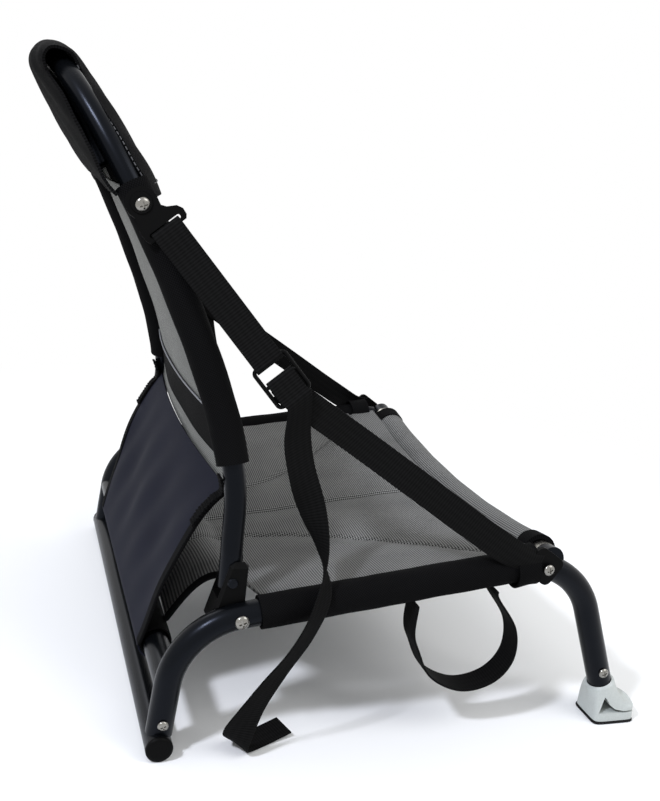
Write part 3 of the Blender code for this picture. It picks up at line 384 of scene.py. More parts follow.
# %% Helpers that make and settle pieces
def only(thing):
    """Select one object and nothing else."""
    bpy.ops.object.select_all(action="DESELECT")
    thing.select_set(True)
    bpy.context.view_layer.objects.active = thing


def modify(thing, kind, **settings):
    """Add a modifier and apply it."""
    only(thing)
    modifier = thing.modifiers.new(kind.lower(), kind)
    for key, value in settings.items():
        setattr(modifier, key, value)
    bpy.ops.object.modifier_apply(modifier=modifier.name)
    return thing


def close_up(thing, gap=0.00001, fill=False):
    """Merge doubled points, fill the open ends if asked, and turn the faces outwards."""
    only(thing)
    bpy.ops.object.mode_set(mode="EDIT")
    bpy.ops.mesh.select_all(action="SELECT")
    bpy.ops.mesh.remove_doubles(threshold=gap)
    if fill:
        bpy.ops.mesh.select_all(action="DESELECT")
        bpy.ops.mesh.select_non_manifold()
        bpy.ops.mesh.edge_face_add()
        bpy.ops.mesh.select_all(action="SELECT")
    bpy.ops.mesh.normals_make_consistent(inside=False)
    bpy.ops.object.mode_set(mode="OBJECT")
    return thing


def settle(thing, material, body, slot, *nodes, angle=40):
    """Finish a piece: its place, its shading, its finish, and what it stands for."""
    only(thing)
    bpy.ops.object.transform_apply(location=True, rotation=True, scale=True)
    thing.data.transform(Matrix.Translation(DATUM))
    thing.data.materials.clear()
    thing.data.materials.append(material)
    bpy.ops.object.shade_smooth_by_angle(angle=math.radians(angle))
    if body:
        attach(thing, body)
    if nodes:
        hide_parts(*nodes)
    return thing


def round_bars(name, runs, radius, resolution):
    """Round bars along lists of points, as one mesh."""
    bpy.ops.curve.primitive_nurbs_path_add()
    path = bpy.context.object
    path.name = name
    path.data.splines.clear()
    for run in runs:
        spline = path.data.splines.new("POLY")
        spline.points.add(len(run) - 1)
        for knot, place in zip(spline.points, run):
            knot.co = (*place, 1.0)
    path.data.dimensions = "3D"
    path.data.bevel_depth = radius
    path.data.bevel_resolution = resolution
    path.data.use_fill_caps = True
    only(path)
    bpy.ops.object.convert(target="MESH")
    bars = bpy.context.object
    bars.data.name = name
    return bars


def tube(name, line, radius, resolution):
    """A round tube along a line."""
    return close_up(round_bars(name, [line], radius, resolution))


def cloth(name, place, across, length, columns, rows, thickness=0.0, offset=0.0, marks=None):
    """A cloth grid: place(s, t) for s from -1 to 1 across, t from 0 to 1 along; marks are rows' lengths."""
    bpy.ops.mesh.primitive_grid_add(x_subdivisions=columns, y_subdivisions=rows, size=1.0)
    sheet = bpy.context.object
    sheet.name = sheet.data.name = name
    shares = [(2 * v.co.x, v.co.y + 0.5) for v in sheet.data.vertices]
    for vertex, (s, t) in zip(sheet.data.vertices, shares):
        vertex.co = place(s, t)
    layer = sheet.data.uv_layers[0].data
    for loop in sheet.data.loops:
        s, t = shares[loop.vertex_index]
        layer[loop.index].uv = (s * across / 2, marks[round(t * rows)] if marks else t * length)
    if thickness:
        modify(sheet, "SOLIDIFY", thickness=thickness, offset=offset, use_rim=True)
    return sheet


def axes_along(line, hint):
    """For each point of a line: the two directions that square with it."""
    found = []
    for i, point in enumerate(line):
        ahead = (line[min(i + 1, len(line) - 1)] - line[max(i - 1, 0)]).normalized()
        first = (Vector(hint) - ahead * Vector(hint).dot(ahead)).normalized()
        found.append((point, first, ahead.cross(first)))
    return found


def sleeve(name, line, hint, radius, thickness, swell=None):
    """Cloth rolled round a line; swell(angle, share) changes its radius."""
    places = axes_along(line, hint)
    rows = len(line) - 1

    def place(s, t):
        i = min(int(round(t * rows)), rows)
        point, one, two = places[i]
        angle = math.pi * s
        size = radius * (swell(angle, t) if swell else 1.0)
        return point + (one * math.cos(angle) + two * math.sin(angle)) * size

    rolled = close_up(cloth(name, place, 2 * math.pi * radius, length_of(line), 40, rows))
    return modify(rolled, "SOLIDIFY", thickness=thickness, offset=-1, use_rim=True)


def strap(name, line, across, width=WEB, thickness=0.0017, curl=None):
    """Webbing along a line; across lists its width's directions, and curl(i) how it rolls there."""
    rows = len(line) - 1

    def place(s, t):
        i = min(int(round(t * rows)), rows)
        inward, radius = curl(i) if curl else (None, 0)
        if not radius:
            return line[i] + across[i].normalized() * (s * width / 2)
        turn = s * width / 2 / radius
        return line[i] + (across[i].normalized() * math.sin(turn) + inward * (1 - math.cos(turn))) * radius

    marks = [length_of(line[: i + 1]) for i in range(rows + 1)]
    band = cloth(name, place, width, marks[-1], 8, rows, thickness, marks=marks)
    print(name, "is", round(1000 * marks[-1]), "mm long")
    return modify(band, "BEVEL", width=thickness * 0.38, segments=2, limit_method="ANGLE",
                  angle_limit=math.radians(50))


def stitching(name, line, body, pitch=0.0044, radius=0.00045, thread=THREAD):
    """Thread in dashes along a line: each stitch is a short round run with a gap before the next."""
    point, count = along(line), int(length_of(line) / pitch)
    runs = [[point((k + share) / count) for share in (0.18, 0.5, 0.82)] for k in range(count)]
    return settle(round_bars(name, runs, radius, 1), thread, body, "black_fabric")


# %% [markdown]
# ## Camera, light and floor
# The camera stands to the sitter's right and a little behind, about head height for someone kneeling. The
# background is plain white for the camera and for reflections, and soft light comes from large lamps. A small
# key lamp behind the seat draws the thin bluish highlights along the tubes. The floor is pale paper that
# fades to white away from the seat.

# %% Camera
PHOTO_H = 801
FOCAL_PX = 996.1
SENSOR = 36.0
YAW, PITCH, ROLL = (math.radians(v) for v in (19.771, 15.428, 7.182))
look = Vector((math.cos(YAW) * math.cos(PITCH), -math.sin(YAW) * math.cos(PITCH), -math.sin(PITCH)))
level = Vector((-math.sin(YAW), -math.cos(YAW), 0.0))
upward = level.cross(look)
right = level * math.cos(ROLL) + upward * math.sin(ROLL)
top = upward * math.cos(ROLL) - level * math.sin(ROLL)
bpy.ops.object.camera_add(location=Vector((-0.9053, 0.1372, 0.5011)) + DATUM)
camera = bpy.context.object
camera.rotation_euler = Matrix((right, top, -look)).transposed().to_euler()
camera.data.sensor_width = SENSOR
camera.data.lens = FOCAL_PX * SENSOR / PHOTO_H
bpy.context.scene.camera = camera
bpy.context.scene.view_settings.view_transform = "Standard"


# %% Lamps and background
def area_light(name, place, size, power, colour="#ffffff"):
    """A square lamp that faces the seat."""
    bpy.ops.object.light_add(type="AREA", location=place)
    lamp = bpy.context.object
    lamp.name = name
    lamp.data.size = size
    lamp.data.energy = power
    lamp.data.color = linear(colour)[:3]
    lamp.rotation_euler = (Vector((0, 0, 0.2)) - Vector(place)).to_track_quat("-Z", "Y").to_euler()


area_light("key_lamp", (-1.0, 1.5, 1.9), 0.22, 42, "#eef2ff")
area_light("fill_lamp", (-1.1, -1.3, 1.7), 1.4, 20)
area_light("rim_lamp", (1.4, 0.6, 1.6), 1.0, 10)

world = bpy.data.worlds.new("pale_studio")
bpy.context.scene.world = world
world.use_nodes = True
sky = world.node_tree
rays = add_node(sky, "LightPath").outputs
seen = rays["Is Camera Ray"]
for ray in ("Is Transmission Ray", "Is Glossy Ray"):
    seen = add_node(sky, "Math", operation="MAXIMUM", i0=seen, i1=rays[ray]).outputs[0]
pale = add_node(sky, "Mix", data_type="RGBA", i0=seen, i6=linear("#cfd1d4"), i7=linear("#ffffff"))
sky.links.new(pale.outputs[2], sky.nodes["Background"].inputs["Color"])
sky.nodes["Background"].inputs["Strength"].default_value = 1.0

# %% Floor
bpy.ops.mesh.primitive_plane_add(size=8.0)
floor = bpy.context.object
floor.name = "studio_floor"
paper, paper_tree, paper_shader = new_material("pale_paper", 0.9)
paper_shader.inputs["Base Color"].default_value = linear("#f4f4f3")
spot = add_node(paper_tree, "TexCoord").outputs["Object"]
reach = add_node(paper_tree, "VectorMath", operation="LENGTH", i0=spot).outputs["Value"]
fade = add_node(paper_tree, "MapRange", interpolation_type="SMOOTHSTEP", i0=reach, i1=0.35,
                i2=1.0)
glow = add_node(paper_tree, "Emission", Strength=1.0)
paper_mix = add_node(paper_tree, "MixShader", i0=fade.outputs[0])
paper_tree.links.new(paper_shader.outputs[0], paper_mix.inputs[1])
paper_tree.links.new(glow.outputs[0], paper_mix.inputs[2])
paper_tree.links.new(paper_mix.outputs[0], paper_tree.nodes["Material Output"].inputs["Surface"])
floor.data.materials.append(paper)

# %% [markdown]
# ## Tubes
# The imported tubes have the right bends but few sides. These copies follow the same lines with many sides, so
# that their long highlights run clean. The screws' holes are hidden by their heads, so they are left out.

# %% Frame tubes
for name, side in SIDES.items():
    rail = tube(f"rail_tube_{name}", rail_line(side), RAIL_R, 9)
    settle(rail, TUBE, "seat", "tube", f"side_rail_{name}")

floor_tube = tube("floor_tube", [Vector((x, 0, RAIL_R)) for x in (-BAR_END, BAR_END)], RAIL_R, 9)
settle(floor_tube, TUBE, "seat", "tube", "rear_floor_bar")

cross_tube = tube("cross_tube", [Vector((x, CROSS.y, CROSS.z)) for x in (-RAIL_X, RAIL_X)], RAIL_R, 9)
settle(cross_tube, TUBE, "seat", "tube", "rear_cross_bar")

front_tube = tube("front_tube", [front_bar(RAIL_X * k / 20) for k in range(-20, 21)], RAIL_R, 9)
settle(front_tube, TUBE, "seat", "tube", "front_cross_bar")

arch = tube("arch_tube", BACK_CHAIN, BACK_R, 9)
settle(arch, TUBE, "backrest", "tube", "back_frame")


# %% [markdown]
# ## Turned pieces
# The floor bar's end plugs and the screws' heads are round, so each starts as a circle that is extruded and
# scaled from ring to ring, as a lathe would cut it. The rings need no second object and close at their poles.

# %% Turning, aiming and end plugs
def turned(name, profile, sides=40):
    """A turned piece: a circle extruded and scaled from ring to ring, each ring a radius and a height."""
    first = max(profile[0][0], 0.00001)
    bpy.ops.mesh.primitive_circle_add(vertices=sides, radius=first, location=(0, 0, profile[0][1]))
    piece = bpy.context.object
    piece.name = piece.data.name = name
    bpy.ops.object.mode_set(mode="EDIT")
    bpy.ops.mesh.select_all(action="SELECT")
    for (r0, z0), (r1, z1) in zip(profile, profile[1:]):
        bpy.ops.mesh.extrude_region_move(TRANSFORM_OT_translate={"value": (0, 0, z1 - z0)})
        scale = max(r1, 0.00001) / max(r0, 0.00001)
        bpy.ops.transform.resize(value=(scale, scale, 1))
    bpy.ops.object.mode_set(mode="OBJECT")
    close_up(piece, 0.00002)
    bpy.ops.object.transform_apply(location=True, rotation=True, scale=True)
    return piece


def aim(thing, place, outwards):
    """Turn a piece whose axis is Z so that it points outwards from a place, with the turn in its mesh."""
    turn = Vector(outwards).to_track_quat("Z", "Y").to_matrix().to_4x4()
    thing.data.transform(Matrix.Translation(place) @ turn)
    return thing


for name, side in SIDES.items():
    plug = turned(f"bar_plug_{name}", [
        (0.0, 0.0024), (RAIL_R * 0.72, 0.0026), (RAIL_R * 0.90, 0.0022), (RAIL_R * 0.99, 0.0012),
        (RAIL_R * 1.01, 0.0002), (RAIL_R * 1.01, -0.0010), (RAIL_R * 0.8, -0.0012), (0.0, -0.0012),
    ])
    aim(plug, Vector((side * (BAR_END + AIR), 0, RAIL_R)), (side, 0, 0))
    settle(plug, NYLON, "seat", "plastic", f"floor_bar_plug_{name}")

# %% [markdown]
# ## Screws
# All the screws are one part: a domed head with a cross recess. It is modelled once, in its own frame, and
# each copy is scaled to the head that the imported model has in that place.

# %% Screws
def cross_recess_screw():
    """A pan head 2 units across, its underside at zero, with a cross cut into it."""
    head = turned("screw_pattern", [
        (0.0, 0.44), (0.30, 0.43), (0.62, 0.36), (0.86, 0.24), (0.97, 0.10), (1.0, 0.0), (0.35, 0.0),
        (0.35, -0.6), (0.0, -0.6),
    ], 36)
    for turn in (0, 90):
        bpy.ops.mesh.primitive_cube_add(size=1.0, location=(0, 0, 0.40))
        bit = bpy.context.object
        bit.dimensions = (1.05, 0.25, 0.44)
        bit.rotation_euler = (0, 0, math.radians(turn + 20))
        bpy.ops.object.transform_apply(location=True, rotation=True, scale=True)
        modify(head, "BOOLEAN", operation="DIFFERENCE", solver="EXACT", object=bit)
        bpy.data.objects.remove(bit, do_unlink=True)
    return head


pattern = cross_recess_screw()


def screw(name, node, body, outwards):
    """A copy of the pattern at a packed screw's head."""
    low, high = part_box(node)
    centre = (low + high) / 2 - DATUM
    outwards = Vector(outwards).normalized()
    spread = (high - low) / 2
    radius = min(spread.y, spread.z) if abs(outwards.x) > 0.8 else min(spread)
    reach = abs(outwards.x) * (high.x - low.x) / 2
    seat_at = centre + outwards * (reach / max(abs(outwards.x), 0.1) - radius * 0.44)
    copy = pattern.copy()
    copy.data = pattern.data.copy()
    copy.name = copy.data.name = name
    bpy.context.scene.collection.objects.link(copy)
    copy.data.transform(Matrix.Scale(radius, 4))
    aim(copy, seat_at, outwards)
    settle(copy, STEEL, body, "steel", node, angle=30)


for name, side in SIDES.items():
    for kind in ("leg", "foot", "bracket", "anchor"):
        screw(f"{kind}_cross_screw_{name}", f"{kind}_screw_{name}", "seat", (side, 0, 0))
    screw(f"hanger_cross_screw_{name}", f"hanger_screw_{name}", "backrest", (side * 0.957, -0.179, -0.202))
bpy.data.objects.remove(pattern, do_unlink=True)


# %% [markdown]
# ## The sling
# The seat is a coated mesh hung between the rails. It sags, seams fan out towards its sides, and behind the
# rails it narrows to the rear cross bar. The seams are sewn valleys between slightly puffed fields.

# %% Seat mesh
SLEEVE_R = RAIL_R + 0.0026
REAR_TURN = -0.0735
TONGUE = (CROSS.y - 0.0118, CROSS.z + 0.0102)
FRONT_EDGE = FRONT_Y + 0.0155


def seat_half(y):
    """Half the mesh's width at y."""
    full = RAIL_X - SLEEVE_R - 0.0002
    start = REAR_TURN - 0.004
    if y <= start:
        return full
    return 0.128 + (full - 0.128) * max(0.0, (TONGUE[0] - y) / (TONGUE[0] - start)) ** 3.2


def seat_z(s, y):
    """Height of the mesh at a share s of its half width."""
    hang = SAG * (1 - abs(s) ** 2.2)
    if y <= REAR_TURN:
        return rail_z(y) + 0.0065 - hang
    t = max(0.0, (TONGUE[0] - y) / (TONGUE[0] - REAR_TURN))
    edge = TONGUE[1] + (rail_z(REAR_TURN) + 0.0065 - TONGUE[1]) * math.sin(t * math.pi / 2)
    return edge - hang * t**1.5


def seam_lane(y):
    """Distance of a side seam from the middle at y: it curves outwards to the front."""
    fore = min(max((-0.04 - y) / 0.19, 0.0), 1.6)
    return 0.046 + 0.085 * fore**2.2


def seat_place(s, t):
    """A point of the mesh, from its rear edge at t = 0 to its front edge."""
    y = TONGUE[0] + (FRONT_EDGE - TONGUE[0]) * t
    x = seat_half(y) * s
    gap = min(abs(abs(x) - lane) for lane in (0.0, seam_lane(y)))
    valley = -0.0036 * math.exp(-((gap / 0.0032) ** 2))
    puff = 0.0030 * (1 - math.exp(-((gap / 0.020) ** 2))) * min(1.0, (1 - abs(s)) * 5)
    ripple = 0.0006 * math.sin(70 * x + 40 * y) * math.sin(95 * y - 20 * x)
    return Vector((x, y, seat_z(s, y) + valley + puff + ripple))


seat = cloth("sling_mesh", seat_place, 2 * RAIL_X, TONGUE[0] - FRONT_EDGE, 150, 110, 0.0022)
settle(seat, SEAT_MESH, "seat", "seat_mesh", "seat_panel")

# %% [markdown]
# ## Thread along the seams
# Each seam of the sling shows a row of black thread at the bottom of its valley. A painted dash would lie flat
# in a low light, so every stitch is a short round run of its own, laid just above the mesh.

# %% Seam threads
for label, lane in {"middle": 0, **SIDES}.items():
    row = []
    for y in (-0.028 - 0.280 * k / 60 for k in range(61)):
        x, half = lane * seam_lane(y), seat_half(y)
        if abs(x) < half - 0.006:
            share = (TONGUE[0] - y) / (TONGUE[0] - FRONT_EDGE)
            row.append(seat_place(x / half, share) + Vector((0, 0, 0.0013)))
    stitching(f"seam_thread_{label}", row, "seat", 0.0056, 0.0006, RUBBER)

# %% [markdown]
# ## Sleeves and bindings of the sling
# The mesh is sewn to cloth sleeves that the rails run through, to a roll of the same mesh round the front bar,
# and to a sleeve on the rear cross bar. Real sleeves are never quite round, so their radius swells a little
# along them. A grid rolled round the tube's line keeps the weave's scale, which a scaled tube wouldn't.

# %% Rail sleeves, front roll and bindings
for name, side in SIDES.items():
    line = rail_run(side, REAR_TURN, 0.2285, 44)
    cover = sleeve(
        f"rail_cover_{name}", line, (1, 0, 0), SLEEVE_R + 0.0002, 0.0016,
        swell=lambda angle, t: 1 + 0.02 * math.sin(5 * angle + 9 * t) * math.sin(26 * t),
    )
    settle(cover, BLACK_CLOTH, "seat", "black_fabric", f"side_sleeve_{name}")

roll = sleeve(
    "front_roll", [front_bar(0.176 * k / 40) for k in range(-40, 41)], (0, 0, 1), RAIL_R + 0.0042, 0.0030,
    swell=lambda angle, t: 1 + 0.012 * math.sin(4 * angle + 30 * t),
)
settle(roll, SEAT_MESH, "seat", "seat_mesh", "front_pocket")
for name, side in SIDES.items():
    ends = [front_bar(side * (0.1763 + 0.0165 * k / 6)) for k in range(7)]
    trim = sleeve(f"roll_binding_{name}", ends, (0, 0, 1), RAIL_R + 0.0056, 0.0044)
    settle(trim, BLACK_CLOTH, "seat", "black_fabric", f"pocket_binding_{name}")

# %% Cuffs, and steel collars that paint the front bar's highlight
for name, side in SIDES.items():
    line = rail_run(side, -0.2940, 0.0205, 8)
    cuff = sleeve(f"strap_cuff_{name}", line, (1, 0, 0), RAIL_R + 0.0070, 0.0018,
                  swell=lambda angle, t: 1 + 0.03 * math.sin(2 * angle + 4 * t))
    settle(cuff, BLACK_CLOTH, "seat", "webbing")
    # Painted highlight: the bright steel collar stands in for the light on the front bar's bare end by the rail.
    ends = [front_bar(side * (0.1925 + 0.0105 * k / 4)) for k in range(5)]
    settle(tube(f"bar_end_highlight_collar_{name}", ends, RAIL_R + 0.0004, 9), STEEL, "seat", "tube")

# %% Rear sleeve and bindings
rear_line = [Vector((0.150 * k / 30, CROSS.y, CROSS.z)) for k in range(-30, 31)]
rear_cover = sleeve("rear_bar_cover", rear_line, (0, 0, 1), SLEEVE_R + 0.0002, 0.0016)
settle(rear_cover, BLACK_CLOTH, "seat", "black_fabric", "rear_sleeve")

for name, side in SIDES.items():
    edge = []
    for k in range(33):
        y = REAR_TURN + 0.003 + (TONGUE[0] - REAR_TURN - 0.002) * k / 32
        edge.append(Vector((side * (seat_half(y) + 0.0012), y + 0.001, seat_z(1, y))))
    binding = tube(f"tongue_binding_{name}", edge, 0.0030, 4)
    settle(binding, BLACK_CLOTH, "seat", "black_fabric", f"rear_binding_{name}")

# %% [markdown]
# ## The back
# The arch carries a light mesh panel between two padded sleeves. Under the panel a black lumbar band and a
# narrow mesh strip close the back. Each is a sheet from one side of the arch to the other that bulges a
# little to the rear, and they overlap at their seams, as sewn cloth does, so that no light shows between.

# %% Back sleeves and panels
PAD_LOW, PAD_HIGH = 0.2345, 0.439
for name, side in SIDES.items():
    line = [back_at(PAD_LOW + (PAD_HIGH - PAD_LOW) * k / 60, side) for k in range(61)]
    pad = sleeve(
        f"back_pad_{name}", line, (0, 1, -0.4), BACK_R + 0.0042, 0.0022,
        swell=lambda angle, t: 1 + 0.03 * math.sin(3 * angle + 11 * t) * math.sin(17 * t + angle),
    )
    settle(pad, BLACK_CLOTH, "backrest", "black_fabric", f"back_sleeve_{name}")


def back_sheet(low, high, clear, bulge=0.010):
    """A place function for a panel between the back's tubes from one height to another."""

    def place(s, t):
        z = low + (high - low) * t
        tube_at = back_at(z)
        half = -tube_at.x - clear
        wave = 0.0007 * math.sin(7 * s + 50 * z) * math.sin(60 * z)
        return Vector((half * s, tube_at.y + bulge * (1 - s * s) + wave, z))

    return place


PAD_R = BACK_R + 0.0044
panel = cloth("back_mesh_panel", back_sheet(0.262, 0.4335, PAD_R), 0.30, 0.187, 90, 60, 0.0018)
settle(panel, BACK_MESH, "backrest", "back_mesh", "back_panel")
band = cloth("lumbar_cloth", back_sheet(0.2265, 0.2640, PAD_R, bulge=0.0105), 0.33, 0.036, 80, 12, 0.0034)
settle(band, BLACK_CLOTH, "backrest", "black_fabric", "lumbar_band")
strip = cloth("mesh_strip", back_sheet(0.2080, 0.2285, BACK_R + 0.0006), 0.35, 0.018, 80, 8, 0.0018)
settle(strip, BACK_MESH, "backrest", "back_mesh", "lower_strip")

# %% [markdown]
# ## Lumbar piping
# A thin cord is sewn along the top of the lumbar band, in front and behind. Its grey colour is a painted sheen:
# the cord is black cloth, and the grey stands in for the light along its top. It is a fine tube on the
# band's own top edge, so it follows the bulge.

# %% Lumbar piping
# Painted sheen: these greys stand in for light along the black cord's top, not for the cord's own colour.
PIPING_PAINTED_SHEEN = speckled("piping_grey_painted_sheen", "#5f6063", "#7b7c7f", 0.5, 0.0012, 0.00005, Specular_IOR_Level=0.15)
piping_at = back_sheet(0.2640, 0.2660, PAD_R, bulge=0.0105)
for label, shift in (("front", -0.0022), ("rear", 0.0022)):
    row = [piping_at(k / 40, 0.0) + Vector((0, shift, 0)) for k in range(-40, 41)]
    settle(tube(f"lumbar_piping_{label}", row, 0.0008, 3), PIPING_PAINTED_SHEEN, "backrest", "black_fabric")


# %% [markdown]
# ## Hood
# A hood of black cloth goes over the top of the arch: up in front, over the tube and down behind, open at its
# sides, where the bare arch shows between the two layers. One sheet follows that line. It widens with the arch
# under it, its sides sag over the bend, and its edges are drawn in a little, as a sewn edge pulls cloth in.

# %% Hood
def hood_half(z):
    """Half the hood's width at height z."""
    return max(0.0665, -back_at(min(z, BACK_HALF[-1][2] - 0.006)).x + 0.007)


HOOD_TOP = BACK_HALF[-1][2] + BACK_R + AIR
hood_line = smooth([
    (0, 0.0105, 0.4310), (0, 0.0200, 0.4480), (0, 0.0360, 0.4720), (0, 0.0500, 0.4930), (0, 0.0660, 0.5150),
    (0, 0.0790, HOOD_TOP - 0.0060), (0, 0.0895, HOOD_TOP), (0, 0.1000, HOOD_TOP),
    (0, 0.1075, HOOD_TOP - 0.0070), (0, 0.1085, 0.5190), (0, 0.1020, 0.5060), (0, 0.0880, 0.4830),
    (0, 0.0740, 0.4620), (0, 0.0580, 0.4410), (0, 0.0480, 0.4310),
], 8)
hood_point = along(hood_line)


def hood_place(s, t):
    """A point of the hood, from its front lower edge at t = 0 over the top to its rear one."""
    point = hood_point(t)
    half = hood_half(point.z)
    sag = 0.006 * abs(s) ** 3 * max(0.0, (point.z - 0.50) / 0.04)
    crease = 0.0012 * math.sin(9 * s + 14 * t) * math.sin(23 * t + 4 * s)
    rear = min(1.0, max(0.0, (t - 0.52) / 0.08))
    tuck = 0.009 * rear * min(1.0, max(0.0, (point.z - 0.431) / 0.045)) * abs(s) ** 4
    draw = 0.012 * min(1.0, max(0.0, (0.46 - t) / 0.12)) * abs(s) ** 6
    return Vector((half * s, point.y + crease - tuck + draw, point.z - sag))


hood = cloth("hood_cloth", hood_place, 0.22, length_of(hood_line), 60, 110, 0.0024, 1.0)
settle(hood, BLACK_CLOTH, "backrest", "black_fabric", "hood")
length_of(hood_line)
0.75 * 0.278 * length_of(hood_line)

# %% [markdown]
# ## Thread on the hood
# Grey thread runs up both front edges of the hood and along its front hem, in the same short runs as on the
# sling, laid just outside the cloth.

# %% Thread on the hood
for name, side in SIDES.items():
    row = [hood_place(side * 0.985, 0.42 * k / 40) + Vector((side * 0.0030, 0, 0)) for k in range(41)]
    stitching(f"hood_thread_{name}", row, "backrest")
hem_row = [hood_place(k / 30, 0.035) + Vector((0, -0.0027, 0.0012)) for k in range(-27, 28)]
stitching("hood_hem_thread", hem_row, "backrest")

# %% [markdown]
# ## Straps
# Each side strap is 25 mm webbing. The upper one is sewn double with an eye at each end, the lower one runs
# from the ladder buckle to the front corner and curls round the rail there, and the spare end hangs from the
# buckle to the floor. Each is a band laid along a smooth line, with the direction of its width given at
# every point, so that the tail can twist as it falls.

# %% Strap places and shapes
STRAP_RUN = (0.255, -0.638, -0.726)
HANGER_Z = 0.424
UPPER_LENGTH = 0.1245
BUCKLE_L, EYE_LAP = 0.038, 0.0014
ANCHOR_Y = -0.3215
ANCHOR_X = RAIL_X + RAIL_R + AIR + 0.0028 + AIR + WEB_T / 2


def strap_frame(side):
    """Where a side strap starts and ends, with its directions along, across and outwards."""
    at = back_at(HANGER_Z, side)
    run = Vector((side * STRAP_RUN[0], STRAP_RUN[1], STRAP_RUN[2])).normalized()
    across = Vector((0, run.z, -run.y)).normalized()
    out = run.cross(across) * -side
    sleeve_r = (BACK_R + AIR + 0.0034) / math.cos(math.pi / 12)
    start = at + out * (sleeve_r + AIR + 0.0045) + run * 0.027 + across * 0.0035
    return start, start + run * UPPER_LENGTH, run, across, out


def eye_line(start, end, out, eye, layers):
    """The closed path of a strap sewn double with an eye at each end."""
    run = (end - start).normalized()
    half = (end - start).length / 2
    middle = (start + end) / 2
    path = []
    for sign in (1, -1):
        for k in range(13):
            angle = -math.pi / 2 + math.pi * k / 12
            path.append((sign * (half + eye * math.cos(angle)), sign * eye * math.sin(angle)))
        for share in (0.78, 0.5, 0.25, 0.0, -0.25, -0.5, -0.78):
            path.append((sign * half * share, sign * layers))
    path.append(path[0])
    return [middle + run * u + out * v for u, v in path]


TAIL = [
    (0.1925, -0.0960, 0.2600), (0.1920, -0.1040, 0.2290), (0.1940, -0.1160, 0.1980), (0.2090, -0.1230, 0.1690),
    (0.2370, -0.1180, 0.1400), (0.2430, -0.1040, 0.1080), (0.2420, -0.0840, 0.0760), (0.2390, -0.0680, 0.0450),
    (0.2330, -0.0610, 0.0180), (0.2220, -0.0690, 0.0040), (0.2100, -0.0900, 0.0020), (0.2020, -0.1110, 0.0050),
]
TAIL_TURNS = [
    (0, -0.85, 0.5), (0, -0.8, 0.55), (0.55, -0.7, 0.4), (1.0, -0.1, 0.1), (0.6, 0.8, -0.2),
    (0.35, 0.85, -0.25), (0.2, 0.9, -0.2), (0.1, 0.9, 0.0), (-0.5, 0.8, 0.1),
    (-0.95, 0.3, 0.0), (-0.95, 0.3, 0.0), (-0.95, 0.3, 0.0),
]

# %% Upper straps, lower straps and tails
for name, side in SIDES.items():
    start, end, run, across, out = strap_frame(side)
    path = eye_line(start, end, out, 0.0033, 0.00105)
    upper = strap(f"upper_web_{name}", path, [across] * len(path))
    settle(upper, WEBBING, "backrest", "webbing", f"upper_strap_{name}")

    centre = end + run * (BUCKLE_L / 2 - EYE_LAP)
    anchor = Vector((side * ANCHOR_X, ANCHOR_Y, rail_z(ANCHOR_Y)))
    fall, lift = Vector((0, -0.836, -0.549)), Vector((0, -0.549, 0.836))
    line = smooth([
        centre + run * 0.0035 - out * 0.0026, centre + run * 0.0090 - out * 0.0030,
        centre + run * (BUCKLE_L / 2 - 0.004) - out * 0.0030,
        (side * 0.194, -0.150, 0.2570), (side * 0.212, -0.210, 0.2195), (side * 0.2255, -0.262, 0.1870),
        (anchor.x, -0.297, 0.1675), anchor - fall * 0.0110,
    ], 10)
    widths = [across.lerp(lift, min(1.0, max(0.0, (k - 20) / 20))) for k in range(len(line))]
    wrap = [min(1.0, max(0.0, (-0.268 - point.y) / 0.030)) for point in line]
    rolls = [(Vector((-side, 0, 0)), (RAIL_R + 0.0040) / share if share else 0) for share in wrap]
    lower = strap(f"lower_web_{name}", line, widths, curl=lambda i: rolls[i])
    settle(lower, WEBBING, "seat", "webbing", f"lower_strap_{name}")
    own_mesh(lower)

    bar_turn = ((0.0040, -0.0026), (-0.0012, -0.0027), (-0.0032, -0.0019), (-0.0040, 0.0), (-0.0032, 0.0019),
                (-0.0012, 0.0029), (0.0060, 0.0031), (0.0160, 0.0034), (0.0230, 0.0030))
    knots = [*(centre + run * u + out * w for u, w in bar_turn), *((side * x, y, z) for x, y, z in TAIL)]
    turns = [*(across for _ in bar_turn), *((side * x, y, z) for x, y, z in TAIL_TURNS)]
    tail = strap(f"tail_web_{name}", smooth(knots, 8), smooth(turns, 8), WEB * 0.96, WEB_T * 0.8)
    settle(tail, WEBBING, "backrest", "webbing", f"strap_tail_{name}")
    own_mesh(tail)

# %% [markdown]
# ## Ladder buckles
# A ladder buckle is a flat frame with a bar across its middle: the strap's end turns round the bar and locks
# against the frame. Both are round nylon bars here, the frame one line with four round corners.

# %% Ladder buckles
LOOP_U, LOOP_V = 0.0176, 0.0148
for name, side in SIDES.items():
    _, end, run, across, _ = strap_frame(side)
    centre = end + run * (BUCKLE_L / 2 - EYE_LAP)
    corners = [(-LOOP_U, 0), (-LOOP_U, LOOP_V), (LOOP_U, LOOP_V), (LOOP_U, -LOOP_V), (-LOOP_U, -LOOP_V),
               (-LOOP_U, 0)]
    loop = filleted([centre + run * u + across * v for u, v in corners], (0.0035,) * 4, 8)
    outer = tube(f"buckle_frame_{name}", loop, 0.0017, 5)
    settle(outer, NYLON, "backrest", "plastic", f"ladder_buckle_{name}")
    bar = [centre - run * 0.0010 + across * v for v in (-LOOP_V, -0.005, 0.005, LOOP_V)]
    settle(tube(f"buckle_bar_{name}", bar, 0.0016, 5), NYLON, "backrest", "plastic")

# %% [markdown]
# ## Tie loops
# Under the front of each rail hangs a loop of webbing that ties the seat to the boat. Both its ends are sewn
# to the rail sleeve. It hangs free, so it is one band along a smooth line through the points of its fall.

